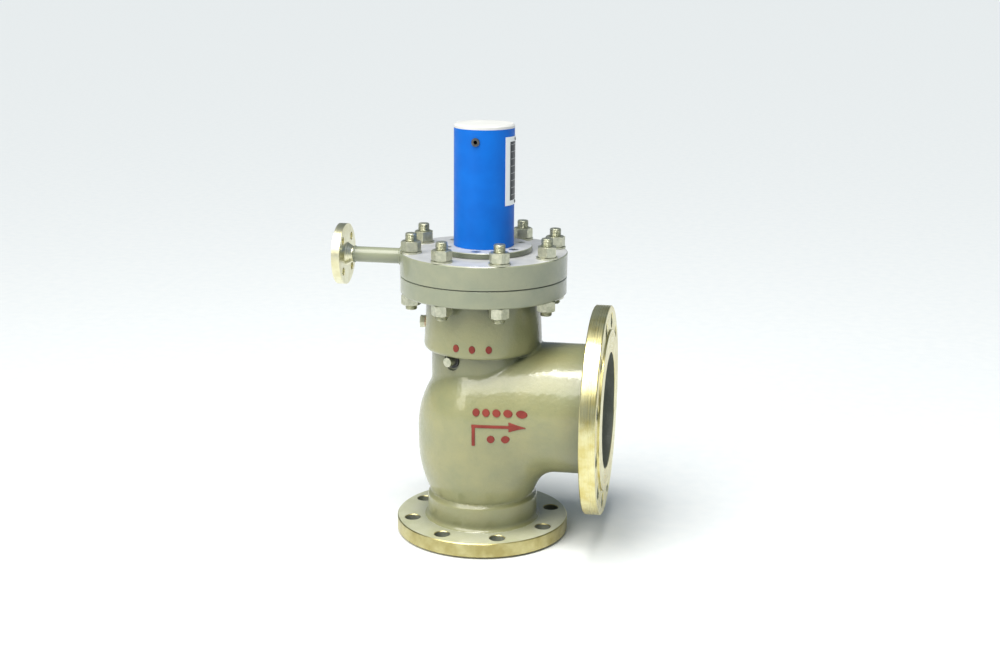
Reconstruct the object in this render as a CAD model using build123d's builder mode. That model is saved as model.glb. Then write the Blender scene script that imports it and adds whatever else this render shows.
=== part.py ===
"""Angle pressure reducing valve: flow enters the bottom flange and leaves the larger side flange.

The origin is the centre of the inlet flange's joint face, +Z is the stem axis and +X the outlet.
All sizes are in millimetres.
"""
from build123d import *
import math
import os

os.makedirs("parts", exist_ok=True)

# Flanges: outside radius, bolt circle radius, bolt hole radius, thickness with the raised face
INLET_FLANGE_R, INLET_BOLT_R, INLET_THICK = 150.0, 125.0, 28.0
OUTLET_FLANGE_R, OUTLET_BOLT_R, OUTLET_THICK = 180.0, 155.0, 30.0
FLANGE_HOLE_R = 13.0
INLET_HOLES, OUTLET_HOLES = 8, 12
INLET_FACE_R, OUTLET_FACE_R, FACE_STEP = 109.0, 139.0, 3.0
INLET_BORE_R, OUTLET_BORE_R = 75.0, 100.0
SENSING_FLANGE_R, SENSING_BOLT_R, SENSING_HOLE_R, SENSING_THICK = 52.5, 37.5, 7.0, 16.0
SENSING_FACE_R, SENSING_FACE_STEP = 29.0, 2.0

# Body casting
OUTLET_X, OUTLET_Z = 220.0, 231.0
WALL = 12.0
HUB_R, HUB_TOP = 96.0, 70.0
BULB_START_R, BULB_START_Z = 90.0, 74.0
BULB_R, BULB_Z = 112.1, 168.0
BULB_END_R, BULB_END_Z = 87.5, 259.0
NECK_R, NECK_BORE_R = 88.5, 70.0
BARREL_LOW_R, BARREL_TOP_R, BARREL_Z, BARREL_ROUND = 101.5, 97.5, 333.0, 7.0
BRANCH_R, BRANCH_BACK = 111.7, 91.0
BONNET_FLANGE_R, BONNET_FLANGE_LOW, BONNET_FLANGE_TOP = 142.0, 430.0, 460.0
CYLINDER_LOW, CYLINDER_R, CYLINDER_RECESS_R, CYLINDER_RECESS_Z = 318.0, 62.0, 78.0, 450.0
# Cast fillets of the turned casting: edge radius, edge height, fillet
CASTING_ROUNDS = ((HUB_R, INLET_THICK, 7.0), (HUB_R, HUB_TOP, 3.0), (BARREL_TOP_R, BONNET_FLANGE_LOW, 8.0))
CROTCH_ROUND, OUTLET_ROUND = 20.0, 8.0
# Planes that part the casting into simple stretches
BRANCH_START_X, BARREL_START_Z = 120.0, 345.0

# Seat web between the inlet passage and the outlet chamber
WEB_LOW, WEB_TOP, SEAT_THREAD_R, SEAT_BORE_R = 92.0, 112.0, 62.0, 52.0
SEAT_FLANGE_R, SEAT_LIP_Z = 70.0, 89.2
GASKET = 1.5

# Bonnet joint
STUDS, STUD_CIRCLE_R, STUD_R, STUD_HOLE_R = 8, 125.0, 10.0, 11.0
STUD_LOW, STUD_TOP = 404.0, 535.0
NUT_FLATS, NUT_HEIGHT, WASHER_R, WASHER_THICK = 30.0, 18.0, 18.0, 3.0
PLATE_R, PLATE_LOW, PLATE_TOP = 142.5, BONNET_FLANGE_TOP + GASKET, 501.0
SENSING_Z, SENSING_CHAMBER_R, SENSING_CHAMBER_Z = 485.0, 38.0, 478.0
PIPE_R, PIPE_BORE_R, PIPE_SPIGOT_R, PIPE_SPIGOT, WELD = 13.45, 10.0, 11.5, 14.0, 2.0
SENSING_X, SENSING_HUB_X, SENSING_HUB_R = -256.0, -226.0, 20.0
SENSING_DRILL_R = 6.0
PACKING_BOX_R, PACKING_BOX_Z, GUIDE_OUT_R, SPIGOT_LOW = 20.0, 466.0, 16.0, 441.0

# Moving stem: positions are with the valve fully open, LIFT below its closed position
LIFT = 22.0
STEM_R, UPPER_STEM_R, STEM_BORE_R, STEM_TOP_R = 15.0, 12.0, 5.0, 10.0
STEM_LOW, STEM_SHOULDER, PISTON_Z, STEM_END = 18.0, 73.0, 322.0, 549.0
PLUG_R, PLUG_LOW, PLUG_TOP = 57.0, 43.0, 61.0
SEAL_THICK, SEAL_IN_R = 6.0, 42.0
PLUG_NUT_FLATS, PLUG_NUT_HEIGHT = 36.0, 14.0
PISTON_R, PISTON_TOP = 51.6, 362.0
RING_LEVELS = (328.0, 340.0, 352.0)
RING_HEIGHT, RING_IN_R, RING_OUT_R, RING_GAP = 4.0, 46.5, 51.95, 1.2
CROSS_HOLE_Z = 390.0

# Spring housing, its piston and springs
HOUSING_FOOT_R, HOUSING_FOOT_TOP, HOUSING_R, HOUSING_BORE_R = 82.5, 511.0, 47.0, 40.0
HOUSING_GASKET = 1.0
HOUSING_SCREW_CIRCLE_R, HOUSING_SCREWS = 66.0, 6
HOUSING_SCREW_R, HOUSING_SCREW_HEAD_R, HOUSING_SCREW_LOW = 4.0, 8.0, 488.0
HOUSING_TOP, HEAD_TOP, HEAD_SPIGOT_Z = 655.0, 668.0, 640.0
SENSING_PISTON_Z, SENSING_PISTON_TOP, SENSING_PISTON_R = 501.2, 519.2, 39.95
SPRING_WIRE_R, SPRING_MEAN_R, SPRING_TURNS = 4.5, 29.8, 5
SPRING_PLATE_R, SPRING_SPIGOT_R, SPRING_LOW, SPRING_TOP = 36.0, 24.0, 525.2, 600.0
ADJUSTER_R, ADJUSTER_LOW, ADJUSTER_TOP, LOCK_NUT_FLATS = 12.0, 609.2, 684.0, 36.0
THREAD_GAP = 0.05

# Cover over the spring housing
COVER_R, COVER_BORE_R, COVER_LOW, COVER_TOP, LID_TOP = 51.0, 48.6, 511.3, 710.0, 717.0
VENT_ANGLE, VENT_Z, VENT_R, VENT_THREAD_R, VENT_HOLE_R, VENT_HEAD = -95.6, 690.0, 7.0, 4.5, 3.2, 2.0
NAMEPLATE_LOW, NAMEPLATE_TOP, NAMEPLATE_HALF_ANGLE, NAMEPLATE_THICK = 583.0, 697.0, 36.0, 0.8
RIVET_R, RIVET_HEAD_R, RIVET_HEAD, RIVET_INSET_Z = 1.5, 2.7, 0.9, 4.5

# Screwed plugs in the casting
BARREL_PLUG_ANGLE, BARREL_PLUG_Z, BARREL_PLUG_SEAT_R, BARREL_PLUG_R = 185.0, 374.0, 98.0, 8.0
NECK_PLUG_ANGLE, NECK_PLUG_Z, NECK_PLUG_SEAT_R, NECK_PLUG_R = -116.0, 325.0, 84.5, 5.0
BARREL_PLUG_RECESS_R, BARREL_PLUG_FLATS, BARREL_PLUG_HEAD, PLUG_WASHER = 13.0, 19.0, 9.0, 2.0
NECK_RECESS_R, NECK_RECESS_OUT_R, NECK_PLUG_HEAD_R, NECK_PLUG_HEAD = 16.5, 96.0, 8.0, 14.5

BRANCH_AXIS = Axis((0, 0, OUTLET_Z), (1, 0, 0))
SENSING_AXIS = Axis((0, 0, SENSING_Z), (1, 0, 0))


def turned(*points, axis=Axis.Z, mode=Mode.ADD):
    """Revolves an outline given as (x, z) points about an axis in the XZ plane."""
    with BuildSketch(Plane.XZ) as outline:
        with BuildLine():
            Polyline(*points, close=True)
        make_face()
    revolve(outline.sketch, axis=axis, mode=mode)


def ring(inner, outer, low, high, mode=Mode.ADD):
    """A plain ring about the stem axis."""
    turned((inner, low), (outer, low), (outer, high), (inner, high), mode=mode)


def radial_plane(angle, radius, height):
    """The plane at this distance from the stem axis whose normal points straight out."""
    outward = Vector(1, 0, 0).rotate(Axis.Z, angle)
    upright = Vector(0, 0, 1)
    return Plane(outward * radius + upright * height, x_dir=outward.cross(upright), z_dir=outward)


def hexagon(flats, height, bore_r):
    """A nut at the origin with its corners turned off at 30 degrees on both faces."""
    corner_r = flats / 3**0.5
    bevel = (corner_r - 0.48 * flats) * 0.58
    with BuildPart() as nut:
        with BuildSketch():
            RegularPolygon(flats / 2, 6, major_radius=False)
        extrude(amount=height)
        turned(
            (bore_r, 0),
            (0.48 * flats, 0),
            (corner_r, bevel),
            (corner_r, height - bevel),
            (0.48 * flats, height),
            (bore_r, height),
            mode=Mode.INTERSECT,
        )
    return nut.part


def hex_nuts(shape, circle_r, count, low):
    """Copies of a nut round a bolt circle, each turned with its own place on the circle."""
    with Locations((0, 0, low)):
        with PolarLocations(circle_r, count, start_angle=180 / count):
            add(shape)


def rod(plane, radius, length, mode=Mode.ADD):
    """A round bar or hole from the plane along its normal."""
    with BuildSketch(plane) as end:
        Circle(radius)
    extrude(end.sketch, amount=length, mode=mode)


def bolt_holes(plane, circle_r, count, hole_r, depth):
    """Holes that straddle the flange's centre lines."""
    with BuildSketch(plane) as holes:
        with PolarLocations(circle_r, count, start_angle=180 / count):
            Circle(hole_r)
    extrude(holes.sketch, amount=-depth, mode=Mode.SUBTRACT)


def bulb_curve(wall, low_r, low_z):
    """The bulb from its lower end up to the neck, a wall thickness inside the casting's skin.

    Below its widest level it is an arc. Above, it stays full and then turns in to the neck.
    """
    widest = BULB_R - wall
    TangentArc((widest, BULB_Z), (low_r, low_z), tangent=(0, -1))
    third = (BULB_END_Z - BULB_Z) / 3
    neck = (BULB_END_R - wall, BULB_END_Z)
    Bezier((widest, BULB_Z), (widest, BULB_Z + third), (widest, BULB_END_Z - third), neck)


def branch_outline(radius, back, end_x):
    """The outlet branch: a rounded end behind the stem axis and a straight run out to end_x."""
    EllipticalCenterArc((0, OUTLET_Z), back, radius, start_angle=90, arc_size=90)
    Line((0, OUTLET_Z + radius), (end_x, OUTLET_Z + radius))


def circles(piece, radius, height):
    """The level circular edges of this radius at this height."""
    level = piece.edges().filter_by(GeomType.CIRCLE).filter_by(lambda e: abs(e.radius - radius) < 0.01)
    return level.filter_by(lambda e: abs(e.arc_center.Z - height) < 0.01)


barrel_plug_seat = radial_plane(BARREL_PLUG_ANGLE, BARREL_PLUG_SEAT_R, BARREL_PLUG_Z)
neck_plug_seat = radial_plane(NECK_PLUG_ANGLE, NECK_PLUG_SEAT_R, NECK_PLUG_Z)

# Body casting: flanges, hub, bulb, neck, barrel and outlet branch in one piece
with BuildPart() as casting:
    with BuildSketch(Plane.XZ):
        with BuildLine():
            Polyline(
                (BULB_START_R, BULB_START_Z),
                (HUB_R, HUB_TOP),
                (HUB_R, INLET_THICK),
                (INLET_FLANGE_R, INLET_THICK),
                (INLET_FLANGE_R, FACE_STEP),
                (INLET_FACE_R, FACE_STEP),
                (INLET_FACE_R, 0),
                (0, 0),
                (0, BONNET_FLANGE_TOP),
                (BONNET_FLANGE_R, BONNET_FLANGE_TOP),
                (BONNET_FLANGE_R, BONNET_FLANGE_LOW),
                (BARREL_TOP_R, BONNET_FLANGE_LOW),
                (BARREL_LOW_R, BARREL_Z + BARREL_ROUND),
            )
            RadiusArc(
                (BARREL_LOW_R, BARREL_Z + BARREL_ROUND),
                (BARREL_LOW_R - BARREL_ROUND, BARREL_Z),
                BARREL_ROUND,
            )
            Polyline(
                (BARREL_LOW_R - BARREL_ROUND, BARREL_Z),
                (NECK_R, BARREL_Z),
                (BULB_END_R, BULB_END_Z),
            )
            bulb_curve(0, BULB_START_R, BULB_START_Z)
        make_face()
    revolve(axis=Axis.Z)
    with BuildSketch(Plane.XZ):
        with BuildLine():
            branch_outline(BRANCH_R, BRANCH_BACK, OUTLET_X - OUTLET_THICK)
            Polyline(
                (OUTLET_X - OUTLET_THICK, OUTLET_Z + BRANCH_R),
                (OUTLET_X - OUTLET_THICK, OUTLET_Z + OUTLET_FLANGE_R),
                (OUTLET_X - FACE_STEP, OUTLET_Z + OUTLET_FLANGE_R),
                (OUTLET_X - FACE_STEP, OUTLET_Z + OUTLET_FACE_R),
                (OUTLET_X, OUTLET_Z + OUTLET_FACE_R),
                (OUTLET_X, OUTLET_Z),
                (-BRANCH_BACK, OUTLET_Z),
            )
        make_face()
    revolve(axis=BRANCH_AXIS)
    # Cast fillets: where the branch meets the bulb and the neck, and at each flange
    blends = casting.edges().filter_by(GeomType.BSPLINE)
    fillet(blends.filter_by_position(Axis.Z, 0, BULB_END_Z), CROTCH_ROUND)
    for edge_r, edge_z, size in CASTING_ROUNDS:
        fillet(casting.edges().sort_by_distance((0, edge_r, edge_z))[0], size)
    branch_root = (OUTLET_X - OUTLET_THICK, 0, OUTLET_Z - BRANCH_R)
    fillet(casting.edges().sort_by_distance(branch_root)[0], OUTLET_ROUND)
    # Outlet chamber, branch bore, inlet passage, seat thread and the bore for the balance cylinder
    with BuildSketch(Plane.XZ):
        with BuildLine():
            bulb_curve(WALL, BULB_R - WALL - 8, WEB_TOP)
            Polyline(
                (BULB_R - WALL - 8, WEB_TOP),
                (SEAT_THREAD_R, WEB_TOP),
                (SEAT_THREAD_R, WEB_LOW),
                (INLET_BORE_R, WEB_LOW),
                (INLET_BORE_R, 0),
                (0, 0),
                (0, BONNET_FLANGE_TOP),
                (CYLINDER_RECESS_R, BONNET_FLANGE_TOP),
                (CYLINDER_RECESS_R, CYLINDER_RECESS_Z),
                (NECK_BORE_R, CYLINDER_RECESS_Z),
                (NECK_BORE_R, BULB_END_Z + WALL),
                (BULB_END_R - WALL, BULB_END_Z),
            )
        make_face()
    revolve(axis=Axis.Z, mode=Mode.SUBTRACT)
    with BuildSketch(Plane.XZ):
        with BuildLine():
            branch_outline(OUTLET_BORE_R, BRANCH_BACK - WALL, OUTLET_X)
            Polyline(
                (OUTLET_X, OUTLET_Z + OUTLET_BORE_R),
                (OUTLET_X, OUTLET_Z),
                (WALL - BRANCH_BACK, OUTLET_Z),
            )
        make_face()
    revolve(axis=BRANCH_AXIS, mode=Mode.SUBTRACT)
    # Bolt and stud holes
    bolt_holes(Plane.XY.offset(INLET_THICK), INLET_BOLT_R, INLET_HOLES, FLANGE_HOLE_R, INLET_THICK)
    outlet_face = Plane((OUTLET_X, 0, OUTLET_Z), x_dir=(0, 0, 1), z_dir=(1, 0, 0))
    bolt_holes(outlet_face, OUTLET_BOLT_R, OUTLET_HOLES, FLANGE_HOLE_R, OUTLET_THICK)
    bonnet_face = Plane.XY.offset(BONNET_FLANGE_TOP)
    bolt_holes(bonnet_face, STUD_CIRCLE_R, STUDS, STUD_HOLE_R, BONNET_FLANGE_TOP - BONNET_FLANGE_LOW)
    # Flat seats and tapped holes for the two screwed plugs
    rod(barrel_plug_seat, BARREL_PLUG_RECESS_R, 10, mode=Mode.SUBTRACT)
    rod(barrel_plug_seat, BARREL_PLUG_R, NECK_BORE_R - BARREL_PLUG_SEAT_R - 4, mode=Mode.SUBTRACT)
    rod(neck_plug_seat, NECK_RECESS_R, NECK_RECESS_OUT_R - NECK_PLUG_SEAT_R, mode=Mode.SUBTRACT)
    rod(neck_plug_seat, NECK_PLUG_R, NECK_BORE_R - NECK_PLUG_SEAT_R - 4, mode=Mode.SUBTRACT)

# The casting, parted by planes into stretches that each surround one passage, joined face to face
inlet_top = Plane.XY.offset(INLET_THICK)
web_top = Plane.XY.offset(WEB_TOP)
barrel_start = Plane.XY.offset(BARREL_START_Z)
bonnet_flange_low = Plane.XY.offset(BONNET_FLANGE_LOW)
branch_start = Plane.YZ.offset(BRANCH_START_X)
outlet_flange_back = Plane.YZ.offset(OUTLET_X - OUTLET_THICK)

with BuildPart() as inlet_flange:
    add(casting.part)
    split(bisect_by=inlet_top, keep=Keep.BOTTOM)

with BuildPart() as inlet_hub:
    add(casting.part)
    split(bisect_by=inlet_top, keep=Keep.TOP)
    split(bisect_by=web_top, keep=Keep.BOTTOM)
    split(bisect_by=branch_start, keep=Keep.BOTTOM)

with BuildPart() as valve_body:
    add(casting.part)
    split(bisect_by=web_top, keep=Keep.TOP)
    split(bisect_by=barrel_start, keep=Keep.BOTTOM)
    split(bisect_by=branch_start, keep=Keep.BOTTOM)

with BuildPart() as body_barrel:
    add(casting.part)
    split(bisect_by=barrel_start, keep=Keep.TOP)
    split(bisect_by=bonnet_flange_low, keep=Keep.BOTTOM)
    split(bisect_by=branch_start, keep=Keep.BOTTOM)

with BuildPart() as bonnet_flange:
    add(casting.part)
    split(bisect_by=bonnet_flange_low, keep=Keep.TOP)

with BuildPart() as outlet_branch:
    add(casting.part)
    split(bisect_by=branch_start, keep=Keep.TOP)
    split(bisect_by=outlet_flange_back, keep=Keep.BOTTOM)
    split(bisect_by=inlet_top, keep=Keep.TOP)
    split(bisect_by=bonnet_flange_low, keep=Keep.BOTTOM)

with BuildPart() as outlet_flange:
    add(casting.part)
    split(bisect_by=outlet_flange_back, keep=Keep.TOP)

# Seat: a gasketed ring screwed into the web from above, with its sealing lip facing the inlet
with BuildPart() as seat_gasket:
    ring(SEAT_THREAD_R + 0.5, SEAT_FLANGE_R, WEB_TOP, WEB_TOP + GASKET)

with BuildPart() as seat_ring:
    turned(
        (SEAT_BORE_R, SEAT_LIP_Z),
        (SEAT_BORE_R + 2, SEAT_LIP_Z),
        (SEAT_BORE_R + 4, SEAT_LIP_Z + 4),
        (SEAT_THREAD_R - THREAD_GAP, SEAT_LIP_Z + 4),
        (SEAT_THREAD_R - THREAD_GAP, WEB_TOP + GASKET),
        (SEAT_FLANGE_R, WEB_TOP + GASKET),
        (SEAT_FLANGE_R, WEB_TOP + GASKET + 8),
        (SEAT_BORE_R + 3, WEB_TOP + GASKET + 8),
        (SEAT_BORE_R, WEB_TOP + GASKET + 5),
    )
    # Four slots for the tool that tightens the ring
    with BuildSketch(Plane.XY.offset(WEB_TOP + GASKET + 8)):
        with PolarLocations(SEAT_FLANGE_R, 4, start_angle=45):
            Rectangle(12, 8)
    extrude(amount=-5, mode=Mode.SUBTRACT)

# Plug, held on the stem's lower end by its nut
with BuildPart() as main_plug:
    turned(
        (UPPER_STEM_R + THREAD_GAP, PLUG_LOW - 6),
        (24, PLUG_LOW - 6),
        (28, PLUG_LOW),
        (PLUG_R - 5, PLUG_LOW),
        (PLUG_R, PLUG_LOW + 5),
        (PLUG_R, PLUG_TOP),
        (UPPER_STEM_R + THREAD_GAP, PLUG_TOP),
    )

with BuildPart() as plug_seal:
    ring(SEAL_IN_R, PLUG_R, PLUG_TOP, PLUG_TOP + SEAL_THICK)

with BuildPart() as seal_retainer:
    turned(
        (UPPER_STEM_R + THREAD_GAP, PLUG_TOP),
        (SEAL_IN_R - 0.1, PLUG_TOP),
        (SEAL_IN_R - 0.1, PLUG_TOP + SEAL_THICK),
        (SEAT_BORE_R - 4, PLUG_TOP + SEAL_THICK),
        (SEAT_BORE_R - 8, STEM_SHOULDER),
        (UPPER_STEM_R + THREAD_GAP, STEM_SHOULDER),
    )

with BuildPart() as plug_nut:
    with Locations((0, 0, PLUG_LOW - 6 - PLUG_NUT_HEIGHT)):
        add(hexagon(PLUG_NUT_FLATS, PLUG_NUT_HEIGHT, UPPER_STEM_R + THREAD_GAP))

# Stem: a drilled bar that carries the plug, the balance piston and the sensing piston
with BuildPart() as valve_stem:
    turned(
        (0, STEM_LOW),
        (UPPER_STEM_R - 1.5, STEM_LOW),
        (UPPER_STEM_R, STEM_LOW + 1.5),
        (UPPER_STEM_R, STEM_SHOULDER),
        (STEM_R, STEM_SHOULDER),
        (STEM_R, PISTON_Z),
        (UPPER_STEM_R, PISTON_Z),
        (UPPER_STEM_R, SENSING_PISTON_Z),
        (STEM_TOP_R, SENSING_PISTON_Z),
        (STEM_TOP_R, STEM_END - 1.5),
        (STEM_TOP_R - 1.5, STEM_END),
        (0, STEM_END),
    )
    # Pressure passage up the middle and out through a cross hole above the balance piston
    turned(
        (0, STEM_LOW),
        (STEM_BORE_R, STEM_LOW),
        (STEM_BORE_R, CROSS_HOLE_Z),
        (0, CROSS_HOLE_Z + STEM_BORE_R),
        mode=Mode.SUBTRACT,
    )
    rod(radial_plane(90, STEM_R, CROSS_HOLE_Z), 3, -2 * STEM_R, mode=Mode.SUBTRACT)

# Balance piston: inlet pressure reaches its top through the stem and cancels the push on the plug
with BuildPart() as balance_piston:
    ring(UPPER_STEM_R + THREAD_GAP, PISTON_R, PISTON_Z, PISTON_TOP)
    for level in RING_LEVELS:
        ring(RING_IN_R - 0.5, PISTON_R + 1, level, level + RING_HEIGHT, mode=Mode.SUBTRACT)
    chamfer(circles(balance_piston, PISTON_R, PISTON_Z), 1.5)

with BuildPart() as balance_piston_rings:
    for level in RING_LEVELS:
        ring(RING_IN_R, RING_OUT_R, level + 0.1, level + RING_HEIGHT - 0.1)
    # The gap that lets each ring spring outwards
    with BuildSketch(Plane.XY.offset(PISTON_Z)):
        with Locations((RING_OUT_R, 0)):
            Rectangle(RING_OUT_R, RING_GAP)
    extrude(amount=PISTON_TOP - PISTON_Z, mode=Mode.SUBTRACT)

with BuildPart() as piston_nut:
    with Locations((0, 0, PISTON_TOP)):
        add(hexagon(LOCK_NUT_FLATS, 14, UPPER_STEM_R + THREAD_GAP))

with BuildPart() as balance_cylinder:
    turned(
        (SEAT_BORE_R, CYLINDER_LOW),
        (CYLINDER_R, CYLINDER_LOW),
        (CYLINDER_R, CYLINDER_LOW + 16),
        (NECK_BORE_R - THREAD_GAP, CYLINDER_LOW + 18),
        (NECK_BORE_R - THREAD_GAP, CYLINDER_LOW + 34),
        (CYLINDER_R, CYLINDER_LOW + 36),
        (CYLINDER_R, CYLINDER_RECESS_Z - 16),
        (NECK_BORE_R - THREAD_GAP, CYLINDER_RECESS_Z - 14),
        (NECK_BORE_R - THREAD_GAP, CYLINDER_RECESS_Z),
        (CYLINDER_RECESS_R - 0.2, CYLINDER_RECESS_Z),
        (CYLINDER_RECESS_R - 0.2, BONNET_FLANGE_TOP),
        (SEAT_BORE_R + 2, BONNET_FLANGE_TOP),
        (SEAT_BORE_R, BONNET_FLANGE_TOP - 4),
    )

# Bonnet joint
with BuildPart() as bonnet_gasket:
    ring(SEAT_BORE_R + 4, STUD_CIRCLE_R - STUD_HOLE_R - 5, BONNET_FLANGE_TOP, PLATE_LOW)

with BuildPart() as bonnet_plate:
    turned(
        (GUIDE_OUT_R, SPIGOT_LOW),
        (SEAT_BORE_R - 0.6, SPIGOT_LOW),
        (SEAT_BORE_R - 0.6, PLATE_LOW),
        (PLATE_R, PLATE_LOW),
        (PLATE_R, PLATE_TOP - 1.5),
        (PLATE_R - 1.5, PLATE_TOP),
        (SENSING_CHAMBER_R, PLATE_TOP),
        (SENSING_CHAMBER_R, SENSING_CHAMBER_Z),
        (PACKING_BOX_R, SENSING_CHAMBER_Z),
        (PACKING_BOX_R, PACKING_BOX_Z),
        (GUIDE_OUT_R, PACKING_BOX_Z),
    )
    bolt_holes(Plane.XY.offset(PLATE_TOP), STUD_CIRCLE_R, STUDS, STUD_HOLE_R, PLATE_TOP - PLATE_LOW)
    # Sensing port drilled from the rim into the chamber, with a socket for the pipe
    pipe_seat = radial_plane(180, PLATE_R, SENSING_Z)
    rod(pipe_seat, SENSING_DRILL_R, SENSING_CHAMBER_R - PLATE_R - 4, mode=Mode.SUBTRACT)
    rod(pipe_seat, PIPE_SPIGOT_R + THREAD_GAP, -PIPE_SPIGOT, mode=Mode.SUBTRACT)
    # Tapped holes for the housing screws
    bolt_holes(Plane.XY.offset(PLATE_TOP), HOUSING_SCREW_CIRCLE_R, HOUSING_SCREWS, 4, 16)

with BuildPart() as guide_bush:
    turned(
        (UPPER_STEM_R + THREAD_GAP, SPIGOT_LOW),
        (GUIDE_OUT_R - 0.02, SPIGOT_LOW),
        (GUIDE_OUT_R - 0.02, PACKING_BOX_Z),
        (PACKING_BOX_R - 0.1, PACKING_BOX_Z),
        (PACKING_BOX_R - 0.1, PACKING_BOX_Z + 3),
        (UPPER_STEM_R + THREAD_GAP, PACKING_BOX_Z + 3),
    )

with BuildPart() as stem_packing:
    for number in range(3):
        low = PACKING_BOX_Z + 3 + 2.2 * number
        ring(UPPER_STEM_R + THREAD_GAP, PACKING_BOX_R - 0.1, low, low + 2)

with BuildPart() as packing_gland:
    add(hexagon(46, 6, UPPER_STEM_R + 0.3).moved(Location((0, 0, SENSING_CHAMBER_Z))))
    ring(UPPER_STEM_R + 0.3, PACKING_BOX_R - THREAD_GAP, PACKING_BOX_Z + 9.8, SENSING_CHAMBER_Z)

# Sensing piston and the springs' seats
with BuildPart() as sensing_piston:
    ring(STEM_TOP_R + THREAD_GAP, SENSING_PISTON_R, SENSING_PISTON_Z, SENSING_PISTON_TOP)
    groove_low = SENSING_PISTON_Z + 7
    ring(SENSING_PISTON_R - 5, SENSING_PISTON_R + 1, groove_low, groove_low + 5, mode=Mode.SUBTRACT)

with BuildPart() as sensing_piston_seal:
    ring(SENSING_PISTON_R - 4.9, SENSING_PISTON_R, groove_low + 0.2, groove_low + 4.8)

with BuildPart() as lower_spring_plate:
    turned(
        (STEM_TOP_R + THREAD_GAP, SENSING_PISTON_TOP),
        (SPRING_PLATE_R, SENSING_PISTON_TOP),
        (SPRING_PLATE_R, SPRING_LOW),
        (SPRING_SPIGOT_R, SPRING_LOW),
        (SPRING_SPIGOT_R - 2, SPRING_LOW + 6),
        (STEM_TOP_R + THREAD_GAP, SPRING_LOW + 6),
    )

with BuildPart() as stem_top_nut:
    with Locations((0, 0, SPRING_LOW + 6)):
        add(hexagon(NUT_FLATS, 14, STEM_TOP_R + THREAD_GAP))

with BuildPart() as upper_spring_plate:
    turned(
        (0, SPRING_TOP - 6),
        (SPRING_SPIGOT_R - 2, SPRING_TOP - 6),
        (SPRING_SPIGOT_R, SPRING_TOP),
        (SPRING_PLATE_R, SPRING_TOP),
        (SPRING_PLATE_R, SPRING_TOP + 7),
        (20, SPRING_TOP + 9),
        (20, SPRING_TOP + 14),
        (ADJUSTER_R + 0.4, SPRING_TOP + 14),
        (ADJUSTER_R + 0.4, ADJUSTER_LOW - 0.2),
        (0, ADJUSTER_LOW - 0.2),
    )

# Range spring, its ends ground flat against both plates
with BuildPart() as range_spring:
    spring_height = SPRING_TOP - SPRING_LOW
    with BuildLine():
        coil = Helix(
            pitch=spring_height / SPRING_TURNS,
            height=spring_height,
            radius=SPRING_MEAN_R,
            center=(0, 0, SPRING_LOW),
        )
    with BuildSketch(Plane(coil @ 0, z_dir=coil % 0)):
        Circle(SPRING_WIRE_R)
    sweep(path=coil, is_frenet=True)
    with BuildSketch(Plane.XY.offset(SPRING_LOW + 0.1)):
        Circle(SPRING_PLATE_R)
    extrude(amount=spring_height - 0.2, mode=Mode.INTERSECT)

with BuildPart() as adjusting_screw:
    turned(
        (0, ADJUSTER_LOW),
        (ADJUSTER_R - 2, ADJUSTER_LOW),
        (ADJUSTER_R, ADJUSTER_LOW + 2),
        (ADJUSTER_R, ADJUSTER_TOP - 1.5),
        (ADJUSTER_R - 1.5, ADJUSTER_TOP),
        (0, ADJUSTER_TOP),
    )
    # Hexagon socket for the adjusting key
    with BuildSketch(Plane.XY.offset(ADJUSTER_TOP)):
        RegularPolygon(6, 6, major_radius=False)
    extrude(amount=-12, mode=Mode.SUBTRACT)

with BuildPart() as adjusting_lock_nut:
    with Locations((0, 0, HEAD_TOP + 0.2)):
        add(hexagon(LOCK_NUT_FLATS, 12, ADJUSTER_R + THREAD_GAP))

# Spring housing, bolted to the plate, and the screwed head that holds the adjusting screw
with BuildPart() as housing_gasket:
    ring(HOUSING_BORE_R + 1, HOUSING_SCREW_CIRCLE_R - 6, PLATE_TOP, PLATE_TOP + HOUSING_GASKET)

with BuildPart() as spring_housing:
    turned(
        (HOUSING_BORE_R, PLATE_TOP + HOUSING_GASKET),
        (HOUSING_FOOT_R, PLATE_TOP + HOUSING_GASKET),
        (HOUSING_FOOT_R, HOUSING_FOOT_TOP - 1),
        (HOUSING_FOOT_R - 1, HOUSING_FOOT_TOP),
        (COVER_BORE_R - 0.2, HOUSING_FOOT_TOP),
        (COVER_BORE_R - 0.2, HOUSING_FOOT_TOP + 12),
        (HOUSING_R, HOUSING_FOOT_TOP + 12),
        (HOUSING_R, HOUSING_TOP),
        (HOUSING_BORE_R, HOUSING_TOP),
    )
    with Locations(Plane.XY.offset(HOUSING_FOOT_TOP)):
        with PolarLocations(HOUSING_SCREW_CIRCLE_R, HOUSING_SCREWS, start_angle=180 / HOUSING_SCREWS):
            CounterSinkHole(HOUSING_SCREW_R + 0.5, HOUSING_SCREW_HEAD_R + 0.3, counter_sink_angle=90)

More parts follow.
